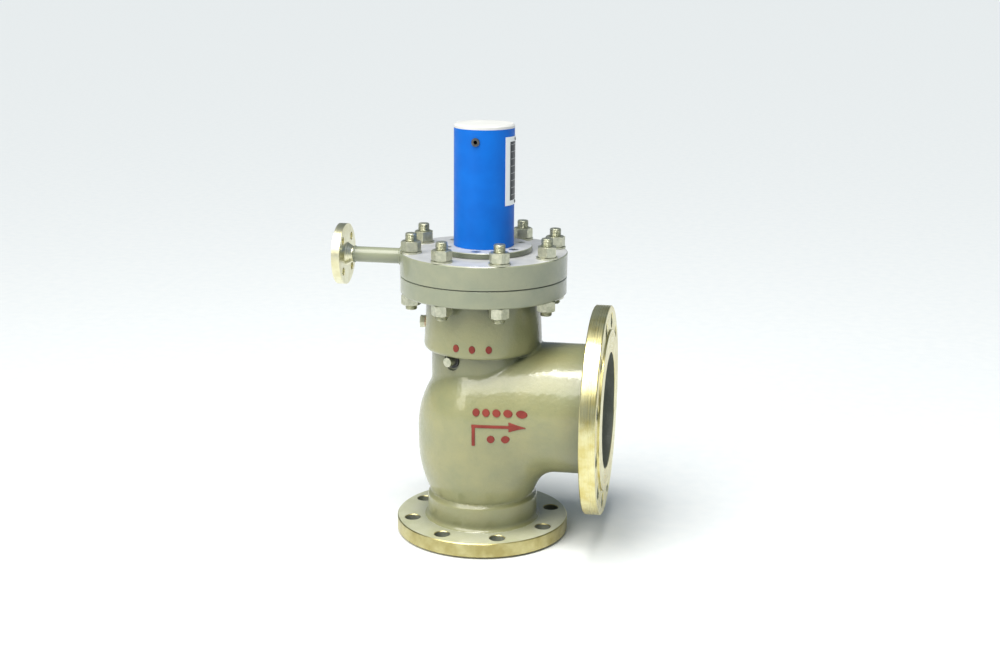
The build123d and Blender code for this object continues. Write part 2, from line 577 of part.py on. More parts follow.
with BuildPart() as housing_screws:
    length = HOUSING_FOOT_TOP - HOUSING_SCREW_LOW
    cone = HOUSING_SCREW_HEAD_R - HOUSING_SCREW_R
    upwards = (Align.CENTER, Align.CENTER, Align.MIN)
    with Locations((0, 0, HOUSING_SCREW_LOW)):
        with PolarLocations(HOUSING_SCREW_CIRCLE_R, HOUSING_SCREWS, start_angle=180 / HOUSING_SCREWS):
            Cylinder(HOUSING_SCREW_R - THREAD_GAP, length, align=upwards)
    with Locations((0, 0, HOUSING_FOOT_TOP - cone)):
        with PolarLocations(HOUSING_SCREW_CIRCLE_R, HOUSING_SCREWS, start_angle=180 / HOUSING_SCREWS):
            Cone(HOUSING_SCREW_R, HOUSING_SCREW_HEAD_R, cone, align=upwards)
    # Hexagon sockets
    with BuildSketch(Plane.XY.offset(HOUSING_FOOT_TOP)):
        with PolarLocations(HOUSING_SCREW_CIRCLE_R, HOUSING_SCREWS, start_angle=180 / HOUSING_SCREWS):
            RegularPolygon(2.5, 6, major_radius=False)
    extrude(amount=-3, mode=Mode.SUBTRACT)

with BuildPart() as housing_head:
    turned(
        (ADJUSTER_R + THREAD_GAP, HEAD_SPIGOT_Z),
        (HOUSING_BORE_R - THREAD_GAP, HEAD_SPIGOT_Z),
        (HOUSING_BORE_R - THREAD_GAP, HOUSING_TOP),
        (HOUSING_R, HOUSING_TOP),
        (HOUSING_R, HEAD_TOP - 2),
        (HOUSING_R - 2, HEAD_TOP),
        (ADJUSTER_R + THREAD_GAP, HEAD_TOP),
    )
    # Breather holes, which also take the pins of the tightening key
    with BuildSketch(Plane.XY.offset(HEAD_TOP)):
        with PolarLocations(30, 4):
            Circle(3)
    extrude(amount=HEAD_SPIGOT_Z - HEAD_TOP, mode=Mode.SUBTRACT)

# Cover: a painted tube that screws onto the housing foot, with a pressed-in lid
rivet_heights = (NAMEPLATE_LOW + RIVET_INSET_Z, NAMEPLATE_TOP - RIVET_INSET_Z)
with BuildPart() as spring_cover:
    ring(COVER_BORE_R, COVER_R, COVER_LOW, COVER_TOP)
    rod(radial_plane(VENT_ANGLE, COVER_R + 1, VENT_Z), VENT_THREAD_R + THREAD_GAP, -6, mode=Mode.SUBTRACT)
    for height in rivet_heights:
        rod(radial_plane(0, COVER_R + 1, height), RIVET_R + THREAD_GAP, -6, mode=Mode.SUBTRACT)

with BuildPart() as cover_lid:
    turned(
        (0, COVER_TOP - 3),
        (COVER_BORE_R - 0.1, COVER_TOP - 3),
        (COVER_BORE_R - 0.1, COVER_TOP),
        (COVER_R, COVER_TOP),
        (COVER_R, LID_TOP - 3),
        (COVER_R - 2.5, LID_TOP - 0.6),
        (0, LID_TOP),
    )

with BuildPart() as cover_vent_screw:
    vent_seat = radial_plane(VENT_ANGLE, COVER_R, VENT_Z)
    rod(vent_seat, VENT_R, VENT_HEAD)
    # The head is hollowed to sit on the round cover
    ring(COVER_R - 3, COVER_R + THREAD_GAP, VENT_Z - VENT_R, VENT_Z + VENT_R, mode=Mode.SUBTRACT)
    rod(vent_seat.offset(VENT_HEAD), VENT_THREAD_R, -VENT_HEAD - 5)
    rod(vent_seat.offset(VENT_HEAD), VENT_HOLE_R, -VENT_HEAD - 5, mode=Mode.SUBTRACT)

# Blank plate, bent to the cover and riveted to its outlet side
with BuildPart() as nameplate:
    with BuildSketch(Plane.XY.offset(NAMEPLATE_LOW)):
        Circle(COVER_R + THREAD_GAP + NAMEPLATE_THICK)
        Circle(COVER_R + THREAD_GAP, mode=Mode.SUBTRACT)
        reach = 2 * COVER_R
        slope = math.tan(math.radians(NAMEPLATE_HALF_ANGLE))
        with BuildLine():
            Polyline((0, 0), (reach, reach * slope), (reach, -reach * slope), close=True)
        make_face(mode=Mode.INTERSECT)
    extrude(amount=NAMEPLATE_TOP - NAMEPLATE_LOW)
    for height in rivet_heights:
        rod(radial_plane(0, COVER_R - 1, height), RIVET_R + THREAD_GAP, 4, mode=Mode.SUBTRACT)

with BuildPart() as nameplate_rivets:
    head_seat = COVER_R + THREAD_GAP + NAMEPLATE_THICK + 0.1
    for height in rivet_heights:
        rod(radial_plane(0, COVER_BORE_R + 0.2, height), RIVET_R, head_seat - COVER_BORE_R)
        rod(radial_plane(0, head_seat, height), RIVET_HEAD_R, RIVET_HEAD)

# Studs, nuts and washers of the bonnet joint
nut_shape = hexagon(NUT_FLATS, NUT_HEIGHT, STUD_R + THREAD_GAP)
with BuildPart() as bonnet_studs:
    with BuildSketch(Plane.XY.offset(STUD_LOW)):
        with PolarLocations(STUD_CIRCLE_R, STUDS, start_angle=180 / STUDS):
            Circle(STUD_R)
    extrude(amount=STUD_TOP - STUD_LOW)
    chamfer(bonnet_studs.edges().filter_by(GeomType.CIRCLE), 1.5)

with BuildPart() as upper_washers:
    with BuildSketch(Plane.XY.offset(PLATE_TOP)):
        with PolarLocations(STUD_CIRCLE_R, STUDS, start_angle=180 / STUDS):
            Circle(WASHER_R)
            Circle(STUD_R + 0.5, mode=Mode.SUBTRACT)
    extrude(amount=WASHER_THICK)

with BuildPart() as upper_nuts:
    hex_nuts(nut_shape, STUD_CIRCLE_R, STUDS, PLATE_TOP + WASHER_THICK)

with BuildPart() as lower_nuts:
    hex_nuts(nut_shape, STUD_CIRCLE_R, STUDS, BONNET_FLANGE_LOW - NUT_HEIGHT)

# Sensing line connection: a pipe welded into the plate's rim, with a weld-neck flange
with BuildPart() as sensing_pipe:
    rim_x = PIPE_SPIGOT - PLATE_R
    turned(
        (SENSING_HUB_X, SENSING_Z + PIPE_BORE_R),
        (SENSING_HUB_X, SENSING_Z + PIPE_R),
        (-PLATE_R - WELD, SENSING_Z + PIPE_R),
        (-PLATE_R - 0.1, SENSING_Z + PIPE_R + WELD),
        (-PLATE_R - 0.1, SENSING_Z + PIPE_SPIGOT_R),
        (rim_x - 0.5, SENSING_Z + PIPE_SPIGOT_R),
        (rim_x - 0.5, SENSING_Z + PIPE_BORE_R),
        axis=SENSING_AXIS,
    )

with BuildPart() as sensing_flange:
    turned(
        (SENSING_X, SENSING_Z + PIPE_BORE_R),
        (SENSING_X, SENSING_Z + SENSING_FACE_R),
        (SENSING_X + SENSING_FACE_STEP, SENSING_Z + SENSING_FACE_R),
        (SENSING_X + SENSING_FACE_STEP, SENSING_Z + SENSING_FLANGE_R),
        (SENSING_X + SENSING_THICK, SENSING_Z + SENSING_FLANGE_R),
        (SENSING_X + SENSING_THICK, SENSING_Z + SENSING_HUB_R),
        (SENSING_HUB_X - 4, SENSING_Z + PIPE_R),
        (SENSING_HUB_X, SENSING_Z + PIPE_R),
        (SENSING_HUB_X, SENSING_Z + PIPE_BORE_R),
        axis=SENSING_AXIS,
    )
    sensing_face = Plane((SENSING_X, 0, SENSING_Z), x_dir=(0, 0, 1), z_dir=(-1, 0, 0))
    bolt_holes(sensing_face, SENSING_BOLT_R, 4, SENSING_HOLE_R, SENSING_THICK)

# Plug in the barrel, for venting the balance cylinder, and plug in the neck, for a pressure gauge
with BuildPart() as barrel_plug:
    rod(barrel_plug_seat.offset(PLUG_WASHER), BARREL_PLUG_R - THREAD_GAP, -20)
    with BuildSketch(barrel_plug_seat.offset(PLUG_WASHER)):
        RegularPolygon(BARREL_PLUG_FLATS / 2, 6, major_radius=False)
    extrude(amount=BARREL_PLUG_HEAD)

with BuildPart() as barrel_plug_washer:
    rod(barrel_plug_seat, BARREL_PLUG_RECESS_R - 1, PLUG_WASHER)
    rod(barrel_plug_seat, BARREL_PLUG_R, PLUG_WASHER, mode=Mode.SUBTRACT)

with BuildPart() as neck_plug:
    rod(neck_plug_seat.offset(PLUG_WASHER), NECK_PLUG_R - THREAD_GAP, -14)
    rod(neck_plug_seat.offset(PLUG_WASHER), NECK_PLUG_HEAD_R, NECK_PLUG_HEAD)

with BuildPart() as neck_plug_washer:
    rod(neck_plug_seat, NECK_RECESS_R - 4, PLUG_WASHER)
    rod(neck_plug_seat, NECK_PLUG_R, PLUG_WASHER, mode=Mode.SUBTRACT)

finished = {
    "inlet_flange": inlet_flange,
    "inlet_hub": inlet_hub,
    "valve_body": valve_body,
    "body_barrel": body_barrel,
    "bonnet_flange": bonnet_flange,
    "outlet_branch": outlet_branch,
    "outlet_flange": outlet_flange,
    "seat_gasket": seat_gasket,
    "seat_ring": seat_ring,
    "main_plug": main_plug,
    "plug_seal": plug_seal,
    "seal_retainer": seal_retainer,
    "plug_nut": plug_nut,
    "valve_stem": valve_stem,
    "balance_piston": balance_piston,
    "balance_piston_rings": balance_piston_rings,
    "piston_nut": piston_nut,
    "balance_cylinder": balance_cylinder,
    "bonnet_gasket": bonnet_gasket,
    "bonnet_plate": bonnet_plate,
    "guide_bush": guide_bush,
    "stem_packing": stem_packing,
    "packing_gland": packing_gland,
    "sensing_piston": sensing_piston,
    "sensing_piston_seal": sensing_piston_seal,
    "lower_spring_plate": lower_spring_plate,
    "stem_top_nut": stem_top_nut,
    "range_spring": range_spring,
    "upper_spring_plate": upper_spring_plate,
    "adjusting_screw": adjusting_screw,
    "adjusting_lock_nut": adjusting_lock_nut,
    "housing_gasket": housing_gasket,
    "spring_housing": spring_housing,
    "housing_screws": housing_screws,
    "housing_head": housing_head,
    "spring_cover": spring_cover,
    "cover_lid": cover_lid,
    "cover_vent_screw": cover_vent_screw,
    "nameplate": nameplate,
    "nameplate_rivets": nameplate_rivets,
    "bonnet_studs": bonnet_studs,
    "upper_washers": upper_washers,
    "upper_nuts": upper_nuts,
    "lower_nuts": lower_nuts,
    "sensing_pipe": sensing_pipe,
    "sensing_flange": sensing_flange,
    "barrel_plug": barrel_plug,
    "barrel_plug_washer": barrel_plug_washer,
    "neck_plug": neck_plug,
    "neck_plug_washer": neck_plug_washer,
}
for name, piece in finished.items():
    piece.part.label = name
    export_step(piece.part, f"parts/{name}.step")
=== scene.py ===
"""The looks of the angle pressure reducing valve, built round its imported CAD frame.

+Z is up along the stem and +X towards the outlet. The valve's sizes are named in millimetres and turned
into metres by MM. The camera and the studio are in metres.
"""
import math

import bmesh
import bpy
import numpy as np
from mathutils import Matrix, Vector, noise
from mathutils.bvhtree import BVHTree


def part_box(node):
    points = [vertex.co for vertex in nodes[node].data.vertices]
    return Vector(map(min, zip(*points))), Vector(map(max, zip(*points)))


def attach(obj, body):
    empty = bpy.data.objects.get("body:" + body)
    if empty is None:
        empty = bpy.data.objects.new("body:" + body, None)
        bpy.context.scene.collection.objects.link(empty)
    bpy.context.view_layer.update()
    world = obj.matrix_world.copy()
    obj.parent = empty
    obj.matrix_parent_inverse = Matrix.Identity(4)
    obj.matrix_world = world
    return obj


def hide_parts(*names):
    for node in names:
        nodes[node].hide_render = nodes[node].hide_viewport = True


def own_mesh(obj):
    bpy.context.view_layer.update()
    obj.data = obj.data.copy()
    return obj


MM = 0.001
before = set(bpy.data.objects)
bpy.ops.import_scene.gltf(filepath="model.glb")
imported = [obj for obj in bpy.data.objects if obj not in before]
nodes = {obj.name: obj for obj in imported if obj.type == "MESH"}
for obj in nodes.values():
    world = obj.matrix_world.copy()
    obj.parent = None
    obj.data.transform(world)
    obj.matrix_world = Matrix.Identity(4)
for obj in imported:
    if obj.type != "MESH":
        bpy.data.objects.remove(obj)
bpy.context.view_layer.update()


def linked(name, data):
    """A new object in the scene with this mesh, light or camera."""
    piece = bpy.data.objects.new(name, data)
    bpy.context.scene.collection.objects.link(piece)
    return piece


# ------------------------------------------------------------------ camera

CAMERA_AZIMUTH, CAMERA_ELEVATION, CAMERA_ROLL = 10.14, 14.06, 0.47
CAMERA_DISTANCE, CAMERA_HEIGHT, CAMERA_ASIDE = 2.559, 0.365, 0.0286
CAMERA_LENS = 53.51


def make_camera():
    """A long view from the front, a little to the left and above, that sees the outlet edge on."""
    azimuth, elevation = math.radians(CAMERA_AZIMUTH), math.radians(CAMERA_ELEVATION)
    right = Vector((math.cos(azimuth), math.sin(azimuth), 0))
    back = Vector((math.sin(azimuth), -math.cos(azimuth), 0)) * math.cos(elevation)
    back.z = math.sin(elevation)
    up = back.cross(right)
    roll = math.radians(CAMERA_ROLL)
    tilted_right = right * math.cos(roll) + up * math.sin(roll)
    tilted_up = up * math.cos(roll) - right * math.sin(roll)
    place = right * CAMERA_ASIDE + Vector((0, 0, CAMERA_HEIGHT)) + back * CAMERA_DISTANCE
    camera = linked("camera", bpy.data.cameras.new("camera"))
    turn = Matrix((tilted_right, tilted_up, back)).transposed()
    camera.matrix_world = Matrix.Translation(place) @ turn.to_4x4()
    camera.data.lens = CAMERA_LENS
    camera.data.sensor_width = 36
    camera.data.clip_start, camera.data.clip_end = 0.05, 500
    bpy.context.scene.camera = camera


# ------------------------------------------------------------------ materials


class Shader:
    """A node material under construction, with short calls for the nodes that recur."""

    def __init__(self, name, **settings):
        self.material = bpy.data.materials.new(name)
        self.material.use_nodes = True
        self.tree = self.material.node_tree
        self.surface = self.tree.nodes["Principled BSDF"]
        for socket, value in settings.items():
            self.surface.inputs[socket.replace("_", " ")].default_value = value
        self.place = self.tree.nodes.new("ShaderNodeTexCoord").outputs["Object"]

    def link(self, value, socket):
        if isinstance(value, bpy.types.NodeSocket):
            self.tree.links.new(value, socket)
        else:
            socket.default_value = value

    def math(self, operation, *values):
        node = self.tree.nodes.new("ShaderNodeMath")
        node.operation = operation
        for value, socket in zip(values, node.inputs):
            self.link(value, socket)
        return node.outputs[0]

    def hypotenuse(self, x, y):
        return self.math("SQRT", self.math("ADD", self.math("MULTIPLY", x, x), self.math("MULTIPLY", y, y)))

    def split(self):
        node = self.tree.nodes.new("ShaderNodeSeparateXYZ")
        self.link(self.place, node.inputs[0])
        return node.outputs[0], node.outputs[1], node.outputs[2]

    def combine(self, x, y, z):
        node = self.tree.nodes.new("ShaderNodeCombineXYZ")
        for value, socket in zip((x, y, z), node.inputs):
            self.link(value, socket)
        return node.outputs[0]

    def noise(self, size, detail=2.0, roughness=0.5, vector=None, distortion=0.0):
        """Noise from 0 to 1 whose blotches are about this many millimetres across."""
        node = self.tree.nodes.new("ShaderNodeTexNoise")
        self.link(vector or self.place, node.inputs["Vector"])
        node.inputs["Scale"].default_value = 1 / (size * MM)
        node.inputs["Detail"].default_value = detail
        node.inputs["Roughness"].default_value = roughness
        node.inputs["Distortion"].default_value = distortion
        return node.outputs["Fac"]

    def span(self, value, low, high, to_low, to_high):
        """Maps low..high to to_low..to_high, clamped."""
        node = self.tree.nodes.new("ShaderNodeMapRange")
        for given, socket in zip((value, low, high, to_low, to_high), node.inputs):
            self.link(given, socket)
        return node.outputs[0]

    def mix(self, share, first, second):
        node = self.tree.nodes.new("ShaderNodeMix")
        node.data_type = "RGBA"
        self.link(share, node.inputs[0])
        self.link(colour(first), node.inputs[6])
        self.link(colour(second), node.inputs[7])
        return node.outputs[2]

    def bump(self, height, depth, strength=1.0):
        """Adds relief of this depth in millimetres for heights from 0 to 1."""
        node = self.tree.nodes.new("ShaderNodeBump")
        node.inputs["Strength"].default_value = strength
        node.inputs["Distance"].default_value = depth * MM
        self.link(height, node.inputs["Height"])
        normal = self.surface.inputs["Normal"]
        if normal.is_linked:
            self.tree.links.new(normal.links[0].from_socket, node.inputs["Normal"])
        self.tree.links.new(node.outputs[0], normal)

    def hollow_share(self, reach):
        """1 deep in corners and 0 on open surfaces, over this reach in millimetres."""
        node = self.tree.nodes.new("ShaderNodeAmbientOcclusion")
        node.samples = 6
        node.inputs["Distance"].default_value = reach * MM
        return self.math("SUBTRACT", 1.0, node.outputs["AO"])

    def set(self, socket, value):
        self.link(value, self.surface.inputs[socket])


def colour(value):
    """An (r, g, b) of linear values as the four that a colour socket takes."""
    if isinstance(value, tuple) and len(value) == 3:
        return (*value, 1.0)
    return value


def srgb(red, green, blue):
    """A linear colour from 0-255 display values."""
    def channel(value):
        share = value / 255
        return share / 12.92 if share <= 0.04045 else ((share + 0.055) / 1.055) ** 2.4
    return channel(red), channel(green), channel(blue)


def cast_paint(name, base, shade, skin=1.0, seam_and_neck_shade=False, shade_hollows=True):
    """Paint over a sand casting: cast skin, orange peel, faint clouding, dark specks, and painted shade where
    the surface is hollow or sheltered.
    """
    s = Shader(name, Specular_IOR_Level=0.5, Coat_Weight=0.8, Coat_Roughness=0.16)
    clouds = s.noise(42, detail=3, roughness=0.6)
    streaks = s.noise(9, detail=4, roughness=0.65, distortion=0.6)
    tone = s.mix(s.span(clouds, 0.3, 0.7, 0.0, 1.0), shade, base)
    specks = s.span(s.noise(2.2, detail=2), 0.66, 0.78, 0.0, 0.45)
    tone = s.mix(specks, tone, tuple(channel * 0.55 for channel in base))
    if shade_hollows:
        # Painted shade: a darker, cooler colour where occlusion is deep, under the flanges and along the
        # creases, a little uneven with the clouding
        hollows = s.math("ADD", s.hollow_share(70), s.math("MULTIPLY", clouds, 0.3))
        hollow_shade = s.span(hollows, 0.28, 0.85, 0.0, 0.85)
        if seam_and_neck_shade:
            # Painted shadow on the sheltered neck under the barrel's lip
            x, y, z = s.split()
            lip = BARREL_BOTTOM * MM
            close = s.span(s.hypotenuse(x, y), (NECK_R + 1.5) * MM, (NECK_R + 11.5) * MM, NECK_SHADE, 0.0)
            neck = s.math("MULTIPLY", close, s.span(z, lip - 0.093, lip - 0.033, 0.0, 1.0))
            below = s.span(z, lip + 0.001, lip + 0.005, 1.0, 0.0)
            hollow_shade = s.math("MAXIMUM", hollow_shade, s.math("MULTIPLY", neck, below))
        tone = s.mix(hollow_shade, tone, SHADE_TONE)
    s.set("Base Color", tone)
    s.set("Roughness", s.span(streaks, 0.3, 0.7, 0.32, 0.48))
    s.bump(s.noise(5.5, detail=5, roughness=0.62), 0.55 * skin)
    s.bump(s.noise(1.3, detail=2), 0.07 * skin)
    if seam_and_neck_shade:
        # A raised line where the mould's halves met, on the plane through both axes
        aside = s.math("ABSOLUTE", s.split()[1])
        s.bump(s.span(aside, 0.0004, 0.0026, 1.0, 0.0), 0.5)
    return s.material


def turned_metal(name, base, tint, roughness, centre=(0, 0, 0), axis="Z", lines=0.9, metallic=1.0):
    """Machined metal with tool lines round an axis, uneven gloss and a film of yellowed oil."""
    s = Shader(name, Metallic=metallic)
    x, y, z = s.split()
    if axis == "X":
        x, z = s.math("SUBTRACT", z, centre[2]), x
    across = s.combine(s.hypotenuse(x, y), z, 0.0)
    bands = s.noise(2.4, detail=4, roughness=0.7, vector=across)
    film = s.noise(26, detail=3, roughness=0.55)
    s.set("Base Color", s.mix(s.span(film, 0.35, 0.65, 0.0, 1.0), base, tint))
    s.set("Roughness", s.span(bands, 0.3, 0.7, roughness - 0.07, roughness + 0.09))
    s.bump(s.noise(lines, detail=2, roughness=0.5, vector=across), 0.03)
    return s.material


def plain_metal(name, base, dull, roughness, grain=3.0):
    """Drawn or forged steel with soft wear and small dents."""
    s = Shader(name, Metallic=1.0)
    wear = s.noise(7, detail=4, roughness=0.6)
    s.set("Base Color", s.mix(s.span(wear, 0.35, 0.65, 0.0, 1.0), base, dull))
    s.set("Roughness", s.span(s.noise(grain, detail=3), 0.3, 0.7, roughness - 0.08, roughness + 0.1))
    s.bump(s.noise(grain * 0.6, detail=3), 0.05)
    return s.material


def smooth_paint(name, base, shade, roughness):
    """Sprayed paint on smooth steel: fine orange peel and a trace of clouding."""
    s = Shader(name, Roughness=roughness, Specular_IOR_Level=0.2)
    s.set("Base Color", s.mix(s.span(s.noise(30, detail=3), 0.3, 0.7, 0.0, 1.0), base, shade))
    s.set("Roughness", s.span(s.noise(12, detail=3), 0.3, 0.7, roughness - 0.05, roughness + 0.06))
    s.bump(s.noise(1.6, detail=2), 0.05)
    return s.material


def ruled_plate(name, pale, dark):
    """The nameplate: a pale border round a dark field that holds only blank ruled lines."""
    s = Shader(name, Roughness=0.38, Metallic=0.3)
    x, y, z = s.split()
    across = s.math("MULTIPLY", s.math("ABSOLUTE", s.math("ARCTAN2", y, x)), NAMEPLATE_R * MM)
    along = s.math("ABSOLUTE", s.math("SUBTRACT", z, NAMEPLATE_MIDDLE * MM))
    half_width, half_height = (size * MM for size in NAMEPLATE_FIELD)
    inset = s.math("MINIMUM", s.math("SUBTRACT", half_width, across), s.math("SUBTRACT", half_height, along))
    field = s.span(inset, 0.0, 0.0003, 0.0, 1.0)
    # Rules a row apart, kept clear of the field's edges
    row = s.math("FRACT", s.math("DIVIDE", z, NAMEPLATE_ROW * MM))
    rule = s.span(s.math("ABSOLUTE", s.math("SUBTRACT", row, 0.5)), 0.455, 0.47, 0.0, 0.45)
    rule = s.math("MULTIPLY", rule, s.span(inset, 0.003, 0.0033, 0.0, 1.0))
    ground = s.mix(rule, dark, pale)
    s.set("Base Color", s.mix(field, pale, ground))
    s.set("Roughness", s.span(s.noise(6, detail=3), 0.3, 0.7, 0.3, 0.46))
    s.bump(field, -0.12)
    return s.material


def soft_sheet(name, base, shade, roughness=0.75):
    """Rubber, fibre or copper sheet used for seals and gaskets."""
    s = Shader(name, Roughness=roughness)
    s.set("Base Color", s.mix(s.noise(3, detail=4), base, shade))
    s.bump(s.noise(0.9, detail=3), 0.06)
    return s.material


# The third colour is painted shade: the dark, cool tone mixed into the paint in hollows and under the
# barrel's lip
PAINT, PAINT_SHADE, SHADE_TONE = srgb(154, 151, 106), srgb(140, 142, 103), srgb(58, 68, 54)
RIM_PAINT, RIM_SHADE = srgb(148, 150, 124), srgb(134, 140, 118)
BLUE, BLUE_SHADE = srgb(0, 104, 204), srgb(0, 97, 195)
OUTLET_HEIGHT, SENSING_HEIGHT = 231.0, 485.0
NAMEPLATE_R, NAMEPLATE_MIDDLE, NAMEPLATE_FIELD, NAMEPLATE_ROW = 51.85, 640.0, (21.2, 49.0), 12.0
# The third value is how strongly painted shadow darkens the neck under the barrel's lip
NECK_R, BARREL_BOTTOM, NECK_SHADE = 88.5, 333.0, 0.42


# Grey primer of the bare casting in the bores, set darker than the outside paint as painted shade; the
# bolt-hole walls take it as painted shade only
INSIDE, INSIDE_SHADE = srgb(132, 136, 124), srgb(108, 112, 102)
# A lighter paint for the inlet flange's upward face: painted light for the light falling from above
TOP_LIGHT_PAINT, TOP_LIGHT_PAINT_SHADE = srgb(206, 206, 182), srgb(178, 179, 146)
PLATE_TOP_METAL, PLATE_TOP_TINT = srgb(206, 206, 208), srgb(190, 191, 192)


def make_materials():
    return {
        "cast": cast_paint("cast_paint", PAINT, PAINT_SHADE, seam_and_neck_shade=True),
        "inside": cast_paint("cast_inside", INSIDE, INSIDE_SHADE, skin=1.6, shade_hollows=False),
        "paint": cast_paint("plain_paint", RIM_PAINT, RIM_SHADE, skin=0.35),
        # Lighter paint for the inlet flange's top, as painted top light
        "lit_top": cast_paint("lit_flange_top_paint", TOP_LIGHT_PAINT, TOP_LIGHT_PAINT_SHADE, skin=0.5),
        "rim": turned_metal("turned_rim", srgb(196, 188, 138), srgb(170, 158, 104), 0.33),
        "outlet_rim": turned_metal(
            "turned_outlet_rim", srgb(232, 225, 176), srgb(212, 198, 130), 0.28,
            centre=(0, 0, OUTLET_HEIGHT * MM), axis="X",
        ),
        "small_rim": turned_metal(
            "turned_small_rim", srgb(238, 235, 206), srgb(220, 214, 176), 0.3,
            centre=(0, 0, SENSING_HEIGHT * MM), axis="X",
        ),
        "plate_top": turned_metal("turned_plate", PLATE_TOP_METAL, PLATE_TOP_TINT, 0.42, metallic=0.3),
        "steel": turned_metal("turned_steel", srgb(205, 204, 198), srgb(190, 188, 178), 0.25),
        "stainless": plain_metal("stainless", srgb(214, 213, 208), srgb(198, 197, 190), 0.24),
        "fastener": plain_metal("fastener_steel", srgb(214, 213, 192), srgb(186, 188, 166), 0.4),
        "zinc": plain_metal("zinc_steel", srgb(206, 206, 200), srgb(184, 186, 180), 0.38),
        "spring": plain_metal("spring_steel", srgb(120, 122, 126), srgb(96, 98, 104), 0.42),
        "iron": plain_metal("ring_iron", srgb(104, 104, 104), srgb(84, 84, 86), 0.4),
        "bronze": plain_metal("bronze", srgb(196, 150, 92), srgb(170, 124, 70), 0.32),
        "copper": plain_metal("copper", srgb(206, 128, 92), srgb(176, 100, 70), 0.34),
        "blue": smooth_paint("cover_paint", BLUE, BLUE_SHADE, 0.46),
        "lid": smooth_paint("lid_paint", srgb(214, 214, 212), srgb(206, 206, 204), 0.4),
        "red": smooth_paint("mark_paint", srgb(146, 66, 56), srgb(126, 54, 48), 0.5),
        "nameplate": ruled_plate("blank_nameplate", srgb(236, 238, 238), srgb(40, 44, 50)),
        "rubber": soft_sheet("seal_rubber", (0.016, 0.016, 0.017), (0.03, 0.03, 0.03), 0.6),
        "gasket": soft_sheet("gasket_sheet", srgb(96, 98, 100), srgb(74, 78, 82)),
    }


# ------------------------------------------------------------------ mesh helpers


def new_object(name, verts, faces):
    mesh = bpy.data.meshes.new(name)
    mesh.from_pydata(verts, [], faces)
    mesh.validate()
    return linked(name, mesh)


def object_from(name, work):
    """Turns a bmesh under construction into an object and frees it."""
    mesh = bpy.data.meshes.new(name)
    work.to_mesh(mesh)
    work.free()
    return linked(name, mesh)


def lathe(name, outline, axis="Z", height=0.0, segments=160):
    """A closed solid turned from an outline of (radius, along) points in millimetres.

    The outline starts and ends on the axis. The axis is Z, or X at this height.
    """
    verts, rings = [], []
    for radius, along in outline:
        ring = []
        count = 1 if radius < 1e-6 else segments
        for step in range(count):
            turn = math.tau * step / count
            side, rise = radius * math.cos(turn), radius * math.sin(turn)
            point = (side, rise, along) if axis == "Z" else (along, side, rise + height)
            ring.append(len(verts))
            verts.append(tuple(MM * value for value in point))
        rings.append(ring)
    faces = []
    for low, high in zip(rings, rings[1:]):
        if len(low) == 1 and len(high) == 1:
            continue
        for step in range(segments):
            after = (step + 1) % segments
            if len(low) == 1:
                faces.append((low[0], high[after], high[step]))
            elif len(high) == 1:
                faces.append((low[step], low[after], high[0]))
            else:
                faces.append((low[step], low[after], high[after], high[step]))
    piece = new_object(name, verts, faces)
    point_outwards(piece.data)
    return piece


def point_outwards(mesh):
    work = bmesh.new()
    work.from_mesh(mesh)
    bmesh.ops.recalc_face_normals(work, faces=work.faces)
    work.to_mesh(mesh)
    work.free()


def quarter_end(radius, depth, steps=16):
    """A quarter of an ellipse from the axis at this depth out to this radius at 0."""
    turns = [math.radians(90 * step / steps) for step in range(steps + 1)]
    return [(radius * math.sin(t), depth * math.cos(t)) for t in turns]


def arc(centre, radius, start, end, steps):
    """Points on an arc in the outline's plane, angles in degrees from the radius direction."""
    turns = [math.radians(start + (end - start) * step / steps) for step in range(steps + 1)]
    return [(centre[0] + radius * math.cos(t), centre[1] + radius * math.sin(t)) for t in turns]


def bulb_outline(low, side, top, steps):
    """The bulb from its lower end up: an arc to its widest level, then full and turned in to the neck."""
    fall, inset = side[1] - low[1], side[0] - low[0]
    radius = (fall * fall + inset * inset) / (2 * inset)
    start = -math.degrees(math.asin(fall / radius))
    lower = arc((side[0] - radius, side[1]), radius, start, 0, steps)
    narrowing, rise = top[0] - side[0], top[1] - side[1]
    shares = [step / steps for step in range(1, steps + 1)]
    return [*lower, *((side[0] + narrowing * share**3, side[1] + rise * share) for share in shares)]


def apply_modifiers(piece):
    """Replaces the mesh by what its modifiers make of it."""
    graph = bpy.context.evaluated_depsgraph_get()
    result = bpy.data.meshes.new_from_object(piece.evaluated_get(graph))
    piece.modifiers.clear()
    piece.data = result


def combine(piece, other, operation):
    """Adds the other solid to the piece or cuts it out, and removes the other."""
    cut = piece.modifiers.new("boolean", "BOOLEAN")
    cut.operation, cut.solver, cut.object = operation, "MANIFOLD", other
    apply_modifiers(piece)
    bpy.data.objects.remove(other)


def soften(mesh, angle=32):
    """Smooth shading that keeps edges sharper than this angle."""
    mesh.polygons.foreach_set("use_smooth", [True] * len(mesh.polygons))
    mesh.set_sharp_from_angle(angle=math.radians(angle))


def vertices_of(mesh):
    flat = np.empty(len(mesh.vertices) * 3)
    mesh.vertices.foreach_get("co", flat)
    return flat.reshape(-1, 3)


# ------------------------------------------------------------------ body casting

